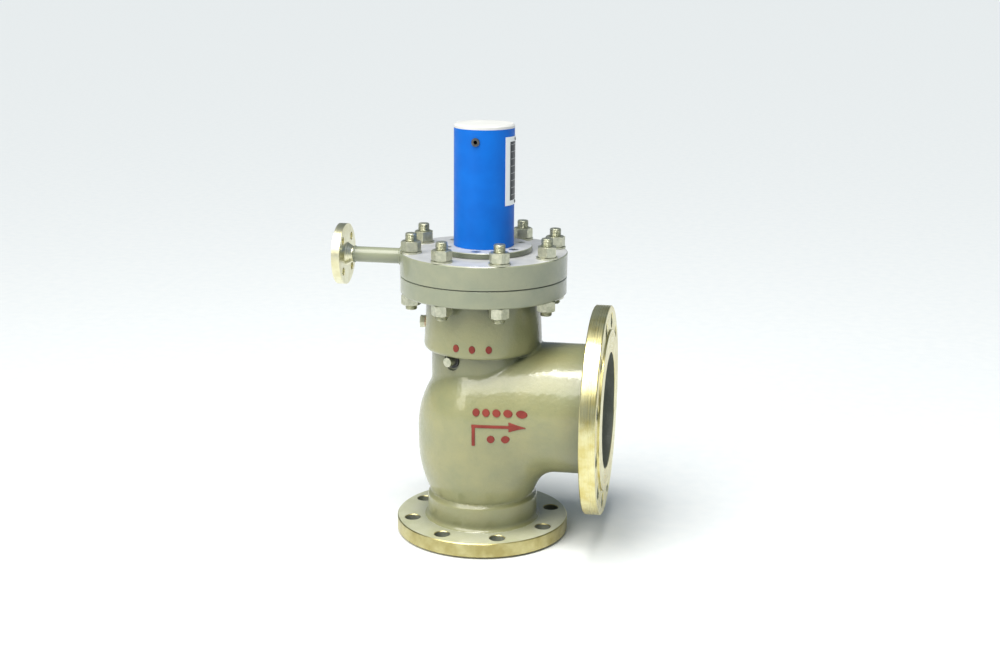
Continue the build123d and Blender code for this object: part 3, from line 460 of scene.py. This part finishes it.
INLET_FLANGE_R, INLET_THICK, INLET_FACE_R, INLET_BORE_R = 150.0, 28.0, 109.0, 75.0
OUTLET_FLANGE_R, OUTLET_THICK, OUTLET_FACE_R, OUTLET_BORE_R = 180.0, 30.0, 139.0, 100.0
FACE_STEP = 3.0
OUTLET_X = 220.0
BONNET_R, BONNET_LOW, BONNET_TOP, PLATE_TOP = 142.0, 430.0, 460.0, 501.0
INLET_CIRCLE, OUTLET_CIRCLE, STUD_CIRCLE = (125.0, 8, 13.0), (155.0, 12, 13.0), (125.0, 8, 11.0)
WALL = 12.0
HUB_R, HUB_TOP = 96.0, 70.0
BULB_LOW, BULB_SIDE, BULB_TOP = (90.0, 74.0), (112.1, 168.0), (87.5, 259.0)
BARREL_LOW_R, BARREL_LIP, BARREL_TOP_R = 101.5, 8.0, 97.5
SEAT_THREAD_R, SEAT_LOW, SEAT_TOP = 62.0, 92.0, 112.0
LINER_R, RECESS_R, RECESS_LOW = 70.0, 78.0, 450.0
BRANCH_R, BRANCH_BACK = 111.7, 91.0
ROOT, CROTCH, NECK_CREASE = 8.0, 34.0, 4.5
VOXEL = 2.0
WAVE_SIZE, WAVE_HEIGHT, GRAIN_SIZE, GRAIN_HEIGHT = 31.0, 0.34, 7.0, 0.13
# How far a cutter runs past the face it opens
CLEAR = 5.0
CASTING_NODES = ("inlet_flange", "inlet_hub", "valve_body", "body_barrel", "bonnet_flange", "outlet_branch",
                 "outlet_flange")


def low_outline():
    """Hub and bulb: the flared root in the inlet flange, the crease, and the bulb's closed top."""
    flare = arc((HUB_R + ROOT, INLET_THICK + ROOT), ROOT, 255, 180, 6)
    crease = arc((HUB_R - 3, HUB_TOP - 3), 3, 0, 60, 4)
    return [(0, 8), (HUB_R + ROOT, 8), *flare, *crease, *bulb_outline(BULB_LOW, BULB_SIDE, BULB_TOP, 14),
            (60, BULB_TOP[1] + 26), (0, BULB_TOP[1] + 33)]


def top_outline():
    """Neck and barrel, up into the bonnet flange, with its rounded lower lip and flared root."""
    lip = arc((BARREL_LOW_R - BARREL_LIP, BARREL_BOTTOM + BARREL_LIP), BARREL_LIP, -90, 0, 8)
    flare = arc((BARREL_TOP_R + ROOT, BONNET_LOW - ROOT), ROOT, 180, 105, 6)
    start, end = 230, BONNET_TOP - 12
    return [(0, start), (NECK_R, start), (NECK_R, BARREL_BOTTOM), *lip, *flare,
            (BARREL_TOP_R + ROOT, end), (0, end)]


def branch_outline():
    """The outlet branch about its own axis: a rounded end behind the stem and a flared root."""
    flare = arc((BRANCH_R + ROOT, OUTLET_X - OUTLET_THICK - ROOT), ROOT, 180, 105, 6)
    end = OUTLET_X - 12
    return [*quarter_end(BRANCH_R, -BRANCH_BACK), *flare, (BRANCH_R + ROOT, end), (0, end)]


def outline_distance(points, outline):
    """Signed distance, in the outline's plane, from points to a closed outline: negative inside."""
    ring = np.array([*outline, outline[0]], float)
    best = np.full(len(points), 1e9)
    inside = np.zeros(len(points), bool)
    x, y = points[:, 0], points[:, 1]
    for (ax, ay), (bx, by) in zip(ring, ring[1:]):
        ex, ey = bx - ax, by - ay
        length = ex * ex + ey * ey
        if length == 0:
            continue
        wx, wy = x - ax, y - ay
        share = np.clip((wx * ex + wy * ey) / length, 0, 1)
        # The run along the axis isn't part of the solid's surface
        if max(ax, bx) > 1e-6:
            best = np.minimum(best, (wx - share * ex) ** 2 + (wy - share * ey) ** 2)
        crossing = (ay <= y) != (by <= y)
        if ey != 0:
            inside ^= crossing & (x < ax + (y - ay) / ey * ex)
    return np.sqrt(best) * np.where(inside, -1, 1)


def smooth_union(first, second, reach):
    """The union of two distance fields with a fillet that starts this far from the corner."""
    share = np.maximum(reach - np.abs(first - second), 0) / reach
    return np.minimum(first, second) - share * share * reach / 4


def casting_distance(points):
    """Distance in millimetres from points to the filleted skin of the casting."""
    radius = np.hypot(points[:, 0], points[:, 1])
    about_stem = np.column_stack((radius, points[:, 2]))
    about_branch = np.column_stack((np.hypot(points[:, 1], points[:, 2] - OUTLET_HEIGHT), points[:, 0]))
    low = outline_distance(about_stem, low_outline())
    top = outline_distance(about_stem, top_outline())
    branch = outline_distance(about_branch, branch_outline())
    return smooth_union(smooth_union(low, branch, CROTCH), top, NECK_CREASE)


def settle_on_skin(points, rounds=3):
    """Moves points along the field's slope until they lie on the casting's skin."""
    step = 0.05
    for _ in range(rounds):
        here = casting_distance(points)
        slope = np.empty_like(points)
        for column in range(3):
            aside = points.copy()
            aside[:, column] += step
            slope[:, column] = (casting_distance(aside) - here) / step
        size = np.maximum((slope**2).sum(1), 0.25)
        points = points - slope * (here / size)[:, None]
    return points, slope


def cast_skin(points, slope):
    """The shallow waves and grain that a sand mould leaves, along the skin's own slope."""
    unit = slope / np.maximum(np.linalg.norm(slope, axis=1), 1e-6)[:, None]
    lift = np.empty(len(points))
    for number, point in enumerate(points):
        wave = noise.noise(Vector(point) / WAVE_SIZE) * WAVE_HEIGHT
        grain = noise.fractal(Vector(point) / GRAIN_SIZE, 0.8, 2.1, 3) * GRAIN_HEIGHT
        lift[number] = wave + grain
    return points + unit * lift[:, None]


def make_casting():
    """Hub, bulb, neck, barrel and branch as one filleted casting, still solid inside."""
    parts = [lathe("low", low_outline()), lathe("top", top_outline())]
    parts.append(lathe("branch", branch_outline(), axis="X", height=OUTLET_HEIGHT))
    work = bmesh.new()
    for part in parts:
        work.from_mesh(part.data)
        bpy.data.objects.remove(part)
    piece = object_from("body_casting", work)
    remesh = piece.modifiers.new("remesh", "REMESH")
    remesh.mode, remesh.voxel_size = "VOXEL", VOXEL * MM
    apply_modifiers(piece)
    points, slope = settle_on_skin(vertices_of(piece.data) / MM)
    piece.data.vertices.foreach_set("co", (cast_skin(points, slope) * MM).ravel())
    piece.data.update()
    return piece


def flange_outline(face_r, rim_r, thick, bevel=1.4):
    """A flange disc about its axis: raised face at 0, bevelled rim, back face at its thickness."""
    return [(0, 0), (face_r - 0.6, 0), (face_r, 0.6), (face_r, FACE_STEP), (rim_r - bevel, FACE_STEP),
            (rim_r, FACE_STEP + bevel), (rim_r, thick - bevel), (rim_r - bevel, thick), (0, thick)]


def hole_cutter(circle_r, count, hole_r, low, high):
    """Rods on a bolt circle that straddle the centre lines, each with a chamfered mouth at both ends."""
    mouth = 1.2
    outline = [(0, low - 2), (hole_r + mouth + 2, low - 2), (hole_r, low + mouth),
               (hole_r, high - mouth), (hole_r + mouth + 2, high + 2), (0, high + 2)]
    work = bmesh.new()
    rod = lathe("hole", outline, segments=40)
    for number in range(count):
        turn = math.tau * (number + 0.5) / count
        place = Vector((math.cos(turn), math.sin(turn), 0)) * (circle_r * MM)
        copy = rod.data.copy()
        copy.transform(Matrix.Translation(place))
        work.from_mesh(copy)
    bpy.data.objects.remove(rod)
    return object_from("holes", work)


def turn_to_outlet(piece):
    """Lays a piece made along +Z from the origin so that it runs from the outlet face towards the stem."""
    swing = Matrix(((0, 0, -1, OUTLET_X * MM), (1, 0, 0, 0), (0, -1, 0, OUTLET_HEIGHT * MM), (0, 0, 0, 1)))
    piece.data.transform(swing)
    point_outwards(piece.data)
    return piece


def chamber_outline():
    """Everything hollow about the stem axis: inlet bore, seat thread, chamber, neck and recess."""
    low = (BULB_SIDE[0] - WALL - 8, SEAT_TOP)
    chamber = bulb_outline(low, (BULB_SIDE[0] - WALL, BULB_SIDE[1]), (BULB_TOP[0] - WALL, BULB_TOP[1]), 14)
    mouth, rim, above = INLET_BORE_R + 1, RECESS_R + 1, BONNET_TOP + CLEAR
    return [(0, -CLEAR), (mouth, -CLEAR), (mouth, 0), (INLET_BORE_R, 1), (INLET_BORE_R, SEAT_LOW),
            (SEAT_THREAD_R, SEAT_LOW), (SEAT_THREAD_R, SEAT_TOP), *chamber,
            (LINER_R, BULB_TOP[1] + WALL), (LINER_R, RECESS_LOW), (RECESS_R, RECESS_LOW),
            (RECESS_R, BONNET_TOP - 1), (rim, BONNET_TOP), (rim, above), (0, above)]


def branch_bore_outline():
    """The outlet's bore about the branch axis, chamfered at the outlet face."""
    mouth = OUTLET_BORE_R + 1
    return [*quarter_end(OUTLET_BORE_R, WALL - BRANCH_BACK), (OUTLET_BORE_R, OUTLET_X - 1),
            (mouth, OUTLET_X), (mouth, OUTLET_X + CLEAR), (0, OUTLET_X + CLEAR)]


def radial_rod(outline, angle, height):
    """A turned solid whose axis points straight out from the stem at this angle and height."""
    piece = lathe("rod", outline, segments=64)
    turn = Matrix.Rotation(math.radians(angle), 4, "Z") @ Matrix.Rotation(math.radians(90), 4, "Y")
    piece.data.transform(Matrix.Translation((0, 0, height * MM)) @ turn)
    return piece


def stepped_outline(hole_r, hole_end, face_r, end):
    """A drilled hole that opens into a wider spot face, outwards from the stem axis."""
    start = 60
    return [(0, start), (hole_r, start), (hole_r, hole_end), (face_r, hole_end), (face_r, end), (0, end)]


BARREL_PLUG = {"angle": 185.0, "height": 374.0}
NECK_PLUG = {"angle": -116.0, "height": 325.0}


def cut_body(body):
    """Joins the machined flanges to the casting, then bores, drills and spot-faces it."""
    inlet = lathe("flange", flange_outline(INLET_FACE_R, INLET_FLANGE_R, INLET_THICK), segments=256)
    combine(body, inlet, "UNION")
    bonnet = [(0, BONNET_LOW), (BONNET_R - 2, BONNET_LOW), (BONNET_R, BONNET_LOW + 2),
              (BONNET_R, BONNET_TOP - 1.2), (BONNET_R - 1.2, BONNET_TOP), (0, BONNET_TOP)]
    combine(body, lathe("bonnet", bonnet, segments=256), "UNION")
    outlet = lathe("outlet", flange_outline(OUTLET_FACE_R, OUTLET_FLANGE_R, OUTLET_THICK), segments=256)
    combine(body, turn_to_outlet(outlet), "UNION")
    combine(body, lathe("chamber", chamber_outline(), segments=128), "DIFFERENCE")
    bore = lathe("bore", branch_bore_outline(), axis="X", height=OUTLET_HEIGHT, segments=128)
    combine(body, bore, "DIFFERENCE")
    combine(body, hole_cutter(*INLET_CIRCLE, FACE_STEP, INLET_THICK), "DIFFERENCE")
    combine(body, turn_to_outlet(hole_cutter(*OUTLET_CIRCLE, FACE_STEP, OUTLET_THICK)), "DIFFERENCE")
    combine(body, hole_cutter(*STUD_CIRCLE, BONNET_LOW, BONNET_TOP), "DIFFERENCE")
    combine(body, radial_rod(stepped_outline(8, 98, 13, 120), **BARREL_PLUG), "DIFFERENCE")
    combine(body, radial_rod(stepped_outline(5, 84.5, 16.5, 96), **NECK_PLUG), "DIFFERENCE")


def in_holes(across, up, circle_r, count, hole_r):
    """Which points lie in the bolt holes of a flange, seen along its axis."""
    near = np.zeros(len(across), bool)
    for number in range(count):
        turn = math.tau * (number + 0.5) / count
        gap = np.hypot(across - circle_r * math.cos(turn), up - circle_r * math.sin(turn))
        near |= gap < hole_r + 0.3
    return near


BODY_LOOKS = ("cast", "inside", "rim", "outlet_rim", "paint", "lit_top")


def paint_body(mesh, materials):
    """Painted outside with painted top light on the inlet flange's top, machined rims and faces, and bare
    casting inside darkened as painted shade, as are the bolt-hole walls: by where each face lies.
    """
    mesh.materials.clear()
    for name in BODY_LOOKS:
        mesh.materials.append(materials[name])
    cast, inside, rim, outlet_rim, paint, lit_top = range(len(BODY_LOOKS))
    centres = np.empty(len(mesh.polygons) * 3)
    mesh.polygons.foreach_get("center", centres)
    x, y, z = centres.reshape(-1, 3).T / MM
    normals = np.empty_like(centres)
    mesh.polygons.foreach_get("normal", normals)
    facing_x, _, facing_z = np.abs(normals.reshape(-1, 3).T)
    radius = np.hypot(x, y)
    branch_radius = np.hypot(y, z - OUTLET_HEIGHT)
    outlet_back, recess = OUTLET_X - OUTLET_THICK, RECESS_R + 1.5
    choice = np.full(len(x), cast)
    deep = casting_distance(np.column_stack((x, y, z))) < -WALL * 0.6
    chamber = deep & (z > INLET_THICK + 2) & (z < BONNET_LOW - 2) & (x < outlet_back - 4)
    choice[(radius < recess) | chamber | ((branch_radius < OUTLET_BORE_R + 2) & (x > 60))] = inside
    inlet = (z < INLET_THICK + 0.5) & (radius > INLET_BORE_R + 0.5)
    choice[inlet] = rim
    # Painted top light: the inlet flange's upward face takes the lighter paint
    choice[inlet & (z > INLET_THICK - 0.3)] = lit_top
    outlet = (x > outlet_back - 0.5) & (branch_radius > OUTLET_BORE_R + 0.2)
    choice[outlet] = outlet_rim
    choice[outlet & (x < outlet_back + 0.3)] = paint
    choice[(z > BONNET_LOW - 0.5) & (radius > recess)] = paint
    # Painted shade: the bolt-hole walls take the darker inside finish, but not the faces beside the holes
    choice[inlet & (facing_z < 0.5) & in_holes(x, y, *INLET_CIRCLE)] = inside
    choice[outlet & (facing_x < 0.5) & in_holes(y, OUTLET_HEIGHT - z, *OUTLET_CIRCLE)] = inside
    mesh.polygons.foreach_set("material_index", choice)


def make_body(materials):
    body = make_casting()
    skin = BVHTree.FromObject(body, bpy.context.evaluated_depsgraph_get())
    cut_body(body)
    paint_body(body.data, materials)
    soften(body.data)
    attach(body, "body")
    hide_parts(*CASTING_NODES)
    return skin


# ------------------------------------------------------------------ raised marks

# A flow arrow that rises beside the stem and turns out along the branch: (angle, height) ends
ARROW = (((-87.0, 191.0), (-87.0, 227.5)), ((-88.6, 225.0), (-59.0, 225.0)))
ARROW_HEAD = ((-60.0, 225.0), (-50.0, 225.0))
# Rows of plain dots: from this angle to that one, height, how many
DOT_ROWS = ((-106.0, -74.0, 352.0, 3), (-85.0, -52.0, 248.0, 5), (-73.0, -62.0, 203.0, 2))
DOT_R, STROKE, MARK_RISE, MARK_ROOT, MARK_SLOPE = 6.4, 5.6, 1.3, -0.6, 0.1
MM_PER_DEGREE = 1.9


def on_skin(skin, angle, height, rise):
    """The point this far off the casting where a level line out from the stem axis leaves it."""
    turn = math.radians(angle)
    outward = Vector((math.cos(turn), math.sin(turn), 0))
    well_outside = outward * 0.4 + Vector((0, 0, height * MM))
    hit, normal, _, _ = skin.ray_cast(well_outside, -outward)
    return hit + normal * (rise * MM)


def stroke_rows(start, end, start_width, end_width, steps):
    """Pairs of (angle, height) points down both sides of a straight stroke."""
    along = Vector(((end[0] - start[0]) * MM_PER_DEGREE, end[1] - start[1])).normalized()
    rows = []
    for step in range(steps + 1):
        share = step / steps
        angle = start[0] + (end[0] - start[0]) * share
        height = start[1] + (end[1] - start[1]) * share
        half = (start_width + (end_width - start_width) * share) / 2
        aside = (-along.y * half / MM_PER_DEGREE, along.x * half)
        rows.append(((angle - aside[0], height - aside[1]), (angle + aside[0], height + aside[1])))
    return rows


def dot_rows(angle, height):
    """Pairs of (angle, height) points down both sides of a dot."""
    rows = []
    for step in range(11):
        turn = math.pi * (step + 0.25) / 10.5
        half = DOT_R * math.sin(turn) / MM_PER_DEGREE
        level = height + DOT_R * math.cos(turn)
        rows.append(((angle - half, level), (angle + half, level)))
    return rows


def raise_mark(work, skin, rows):
    """A low pad over the casting between pairs of side points, its edges sloping down into the skin."""
    profile = ((0, MARK_ROOT), (MARK_SLOPE, MARK_RISE), (1 - MARK_SLOPE, MARK_RISE), (1, MARK_ROOT))
    rings = []
    for left, right in rows:
        section = []
        for share, rise in profile:
            angle = left[0] + (right[0] - left[0]) * share
            height = left[1] + (right[1] - left[1]) * share
            section.append(work.verts.new(on_skin(skin, angle, height, rise)))
        rings.append(section)
    for low, high in zip(rings, rings[1:]):
        for side in range(4):
            after = (side + 1) % 4
            work.faces.new((low[side], low[after], high[after], high[side]))
    work.faces.new(rings[0][::-1])
    work.faces.new(rings[-1])


def make_marks(skin, materials):
    """The arrow and the dots, raised on the casting and painted red."""
    work = bmesh.new()
    for start, end in ARROW:
        raise_mark(work, skin, stroke_rows(start, end, STROKE, STROKE, 20))
    raise_mark(work, skin, stroke_rows(*ARROW_HEAD, 3.4 * STROKE, 0.3, 12))
    for first, last, height, count in DOT_ROWS:
        for number in range(count):
            angle = first + (last - first) * number / (count - 1)
            raise_mark(work, skin, dot_rows(angle, height))
    bmesh.ops.recalc_face_normals(work, faces=work.faces)
    marks = object_from("raised_marks", work)
    marks.data.materials.append(materials["red"])
    soften(marks.data, 40)
    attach(marks, "body")


# ------------------------------------------------------------------ welds

# Fillet at the bonnet plate's rim and butt weld at the small flange: x, radius, bead radius
WELDS = {"pipe_fillet_weld": (-143.6, 14.4, 2.5), "pipe_butt_weld": (-226.0, 12.6, 2.0)}


def make_weld(name, x, radius, bead, materials, segments=120, sides=10):
    """A bead round the sensing pipe with the ripples of its passes."""
    verts, faces = [], []
    for step in range(segments):
        turn = math.tau * step / segments
        ripple = bead * (1 + 0.1 * abs(math.sin(turn * 15)) + 0.08 * math.sin(turn * 5))
        for side in range(sides):
            tilt = math.tau * side / sides
            out = radius + ripple * math.cos(tilt)
            along = x + ripple * math.sin(tilt)
            place = (along, out * math.cos(turn), SENSING_HEIGHT + out * math.sin(turn))
            verts.append(tuple(MM * value for value in place))
    for step in range(segments):
        here, ahead = step * sides, (step + 1) % segments * sides
        for side in range(sides):
            after = (side + 1) % sides
            faces.append((here + side, here + after, ahead + after, ahead + side))
    weld = new_object(name, verts, faces)
    point_outwards(weld.data)
    weld.data.materials.append(materials["paint"])
    soften(weld.data, 60)
    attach(weld, "body")


# ------------------------------------------------------------------ threads and spring

STUD_R, STUD_PITCH = 10.0, 2.5
ADJUSTER_R, ADJUSTER_PITCH, SOCKET_R, SOCKET_DEPTH = 12.0, 3.0, 6.93, 12.0


def threaded_rod(radius, pitch, low, high, shank=None, segments=32, chamfer=1.5):
    """Vertices and faces of a rod with a helical thread, in millimetres, about the Z axis.

    Between the two heights of the shank it is plain.
    """
    shank_low, shank_high = shank or (high, high)
    fine = pitch / 10
    levels = [*np.arange(low, shank_low, fine), *np.arange(shank_high, high, fine), high]
    verts, faces = [], []
    for z in levels:
        taper = max(0.0, chamfer - min(z - low, high - z))
        threaded = z < shank_low or z > shank_high
        for step in range(segments):
            share = step / segments
            phase = ((z - low) / pitch - share) % 1.0
            # Flat crest, sloping flanks and a narrow root
            cut = min(1.0, max(0.0, 1.25 - abs(phase - 0.5) * 2.9)) if threaded else 0.0
            r = min(radius - 0.02 - 0.58 * pitch * cut, radius - taper)
            verts.append((r * math.cos(math.tau * share), r * math.sin(math.tau * share), z))
    count = len(levels) - 1
    for level in range(count):
        for step in range(segments):
            after = (step + 1) % segments
            a, b = level * segments + step, level * segments + after
            faces.append((a, b, b + segments, a + segments))
    faces.append(tuple(range(segments - 1, -1, -1)))
    faces.append(tuple(range(count * segments, (count + 1) * segments)))
    return verts, faces


def round_circle(name, shape, circle_r, count):
    """Copies of a (verts, faces) shape round a bolt circle, in one mesh."""
    verts, faces = [], []
    for number in range(count):
        turn = math.tau * (number + 0.5) / count
        offset = len(verts)
        for x, y, z in shape[0]:
            place = (x + circle_r * math.cos(turn), y + circle_r * math.sin(turn), z)
            verts.append(tuple(MM * value for value in place))
        faces.extend(tuple(corner + offset for corner in face) for face in shape[1])
    return new_object(name, verts, faces)


def make_studs(materials):
    """The bonnet studs, threaded above the plate and below the casting's flange."""
    low, high = (corner.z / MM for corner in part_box("bonnet_studs"))
    circle_r, count, _ = STUD_CIRCLE
    shape = threaded_rod(STUD_R, STUD_PITCH, low, high, shank=(BONNET_LOW, PLATE_TOP))
    studs = round_circle("threaded_studs", shape, circle_r, count)
    studs.data.materials.append(materials["fastener"])
    soften(studs.data, 28)
    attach(studs, "body")
    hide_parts("bonnet_studs")


def make_adjusting_screw(materials):
    """The adjusting screw, threaded all along, with the hexagon socket in its top."""
    low, high = (corner.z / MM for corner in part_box("adjusting_screw"))
    verts, faces = threaded_rod(ADJUSTER_R, ADJUSTER_PITCH, low, high, segments=48)
    screw = new_object("threaded_adjuster", [tuple(MM * value for value in vert) for vert in verts], faces)
    bottom, above = high - SOCKET_DEPTH, high + CLEAR
    socket = lathe("socket", [(0, bottom), (SOCKET_R, bottom), (SOCKET_R, above), (0, above)], segments=6)
    combine(screw, socket, "DIFFERENCE")
    screw.data.materials.clear()
    screw.data.materials.append(materials["zinc"])
    soften(screw.data, 28)
    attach(screw, "adjuster")
    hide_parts("adjusting_screw")


def make_spring(materials):
    """The range spring as a copy of the CAD node's mesh, hung on the stem in the node's place."""
    spring = linked("compressing_spring", nodes["range_spring"].data.copy())
    spring.data.materials.clear()
    spring.data.materials.append(materials["spring"])
    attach(spring, "stem")
    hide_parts("range_spring")
    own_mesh(spring)


# ------------------------------------------------------------------ CAD nodes

# The spring housing's round foot
FOOT_R, FOOT_TOP = 82.0, 511.0
FINISHES = {
    "paint": ("sensing_pipe",),
    "steel": ("seat_ring", "main_plug", "seal_retainer", "balance_piston", "balance_cylinder",
              "sensing_piston", "lower_spring_plate", "upper_spring_plate", "housing_head", "packing_gland"),
    "stainless": ("valve_stem",),
    "small_rim": ("sensing_flange",),
    "fastener": ("upper_nuts", "lower_nuts", "upper_washers", "barrel_plug", "neck_plug"),
    "zinc": ("plug_nut", "piston_nut", "stem_top_nut", "adjusting_lock_nut", "housing_screws"),
    "iron": ("balance_piston_rings", "nameplate_rivets", "cover_vent_screw"),
    "bronze": ("guide_bush",),
    "copper": ("barrel_plug_washer", "seat_gasket"),
    "rubber": ("plug_seal", "sensing_piston_seal", "stem_packing", "neck_plug_washer"),
    "gasket": ("bonnet_gasket", "housing_gasket"),
    "blue": ("spring_cover",),
    "lid": ("cover_lid",),
    "nameplate": ("nameplate",),
}


def dress_nodes(materials):
    """Gives each CAD node its finish; the rims of the bolted plate and foot are painted."""
    for finish, names in FINISHES.items():
        for name in names:
            nodes[name].data.materials.clear()
            nodes[name].data.materials.append(materials[finish])
    paint_rim("bonnet_plate", BONNET_R, PLATE_TOP, materials)
    paint_rim("spring_housing", FOOT_R, FOOT_TOP, materials)


def paint_rim(name, radius, top, materials):
    """Paint on the faces at this rim and below the top face, bare turned metal elsewhere."""
    mesh = nodes[name].data
    mesh.materials.clear()
    mesh.materials.append(materials["plate_top"])
    mesh.materials.append(materials["paint"])
    for face in mesh.polygons:
        corners = [mesh.vertices[number].co / MM for number in face.vertices]
        outside = all(math.hypot(corner.x, corner.y) > radius - 2.5 for corner in corners)
        face.material_index = int(outside and min(corner.z for corner in corners) < top - 0.1)


# ------------------------------------------------------------------ studio


AIM = Vector((0, 0, 0.3))
SUN_DIRECTION, SUN_ANGLE, SUN_STRENGTH, SUN_TONE = (-0.34, -0.6, 1.15), 50, 3.1, (1.0, 0.985, 0.93)
SKY_TONE, SKY_STRENGTH = (0.74, 0.88, 1.0, 1.0), 0.26
FLOOR_REACH = 120.0
# Place, (width, height), watts and tone
AREA_LIGHTS = {
    "overhead": ((0.05, -0.5, 2.3), (0.7, 0.5), 20, (1.0, 0.99, 0.94)),
    "key": ((-1.6, -2.2, 1.5), (0.9, 1.2), 18, (1.0, 0.94, 0.78)),
    "fill": ((2.4, -1.2, 1.0), (1.2, 1.2), 2, (0.86, 0.94, 1.0)),
}


def area_light(name, place, size, energy, tone):
    light = bpy.data.lights.new(name, "AREA")
    light.shape, light.size, light.size_y = "RECTANGLE", size[0], size[1]
    light.energy, light.color = energy, tone
    lamp = linked(name, light)
    lamp.location = place
    lamp.rotation_euler = (AIM - Vector(place)).to_track_quat("-Z", "Y").to_euler()


def make_studio():
    """Wide daylight over the left shoulder, a soft box overhead, a warm key and a weak cool fill."""
    daylight = bpy.data.lights.new("daylight", "SUN")
    daylight.energy, daylight.angle, daylight.color = SUN_STRENGTH, math.radians(SUN_ANGLE), SUN_TONE
    lamp = linked("daylight", daylight)
    lamp.rotation_euler = Vector(SUN_DIRECTION).to_track_quat("Z", "Y").to_euler()
    for name, settings in AREA_LIGHTS.items():
        area_light(name, *settings)
    world = bpy.data.worlds.new("studio")
    world.use_nodes = True
    background = world.node_tree.nodes["Background"]
    background.inputs["Color"].default_value = SKY_TONE
    background.inputs["Strength"].default_value = SKY_STRENGTH
    bpy.context.scene.world = world
    corners = [(x * FLOOR_REACH, y * FLOOR_REACH, 0) for x, y in ((-1, -1), (1, -1), (1, 1), (-1, 1))]
    floor = new_object("floor", corners, [(0, 1, 2, 3)])
    floor.data.materials.append(smooth_paint("floor_paint", srgb(236, 238, 240), srgb(232, 235, 238), 0.7))
    bpy.context.scene.view_settings.view_transform = "Standard"


make_camera()
finishes = make_materials()
body_skin = make_body(finishes)
make_marks(body_skin, finishes)
for weld_name, (weld_x, weld_r, bead_r) in WELDS.items():
    make_weld(weld_name, weld_x, weld_r, bead_r, finishes)
make_studs(finishes)
make_adjusting_screw(finishes)
make_spring(finishes)
dress_nodes(finishes)
make_studio()
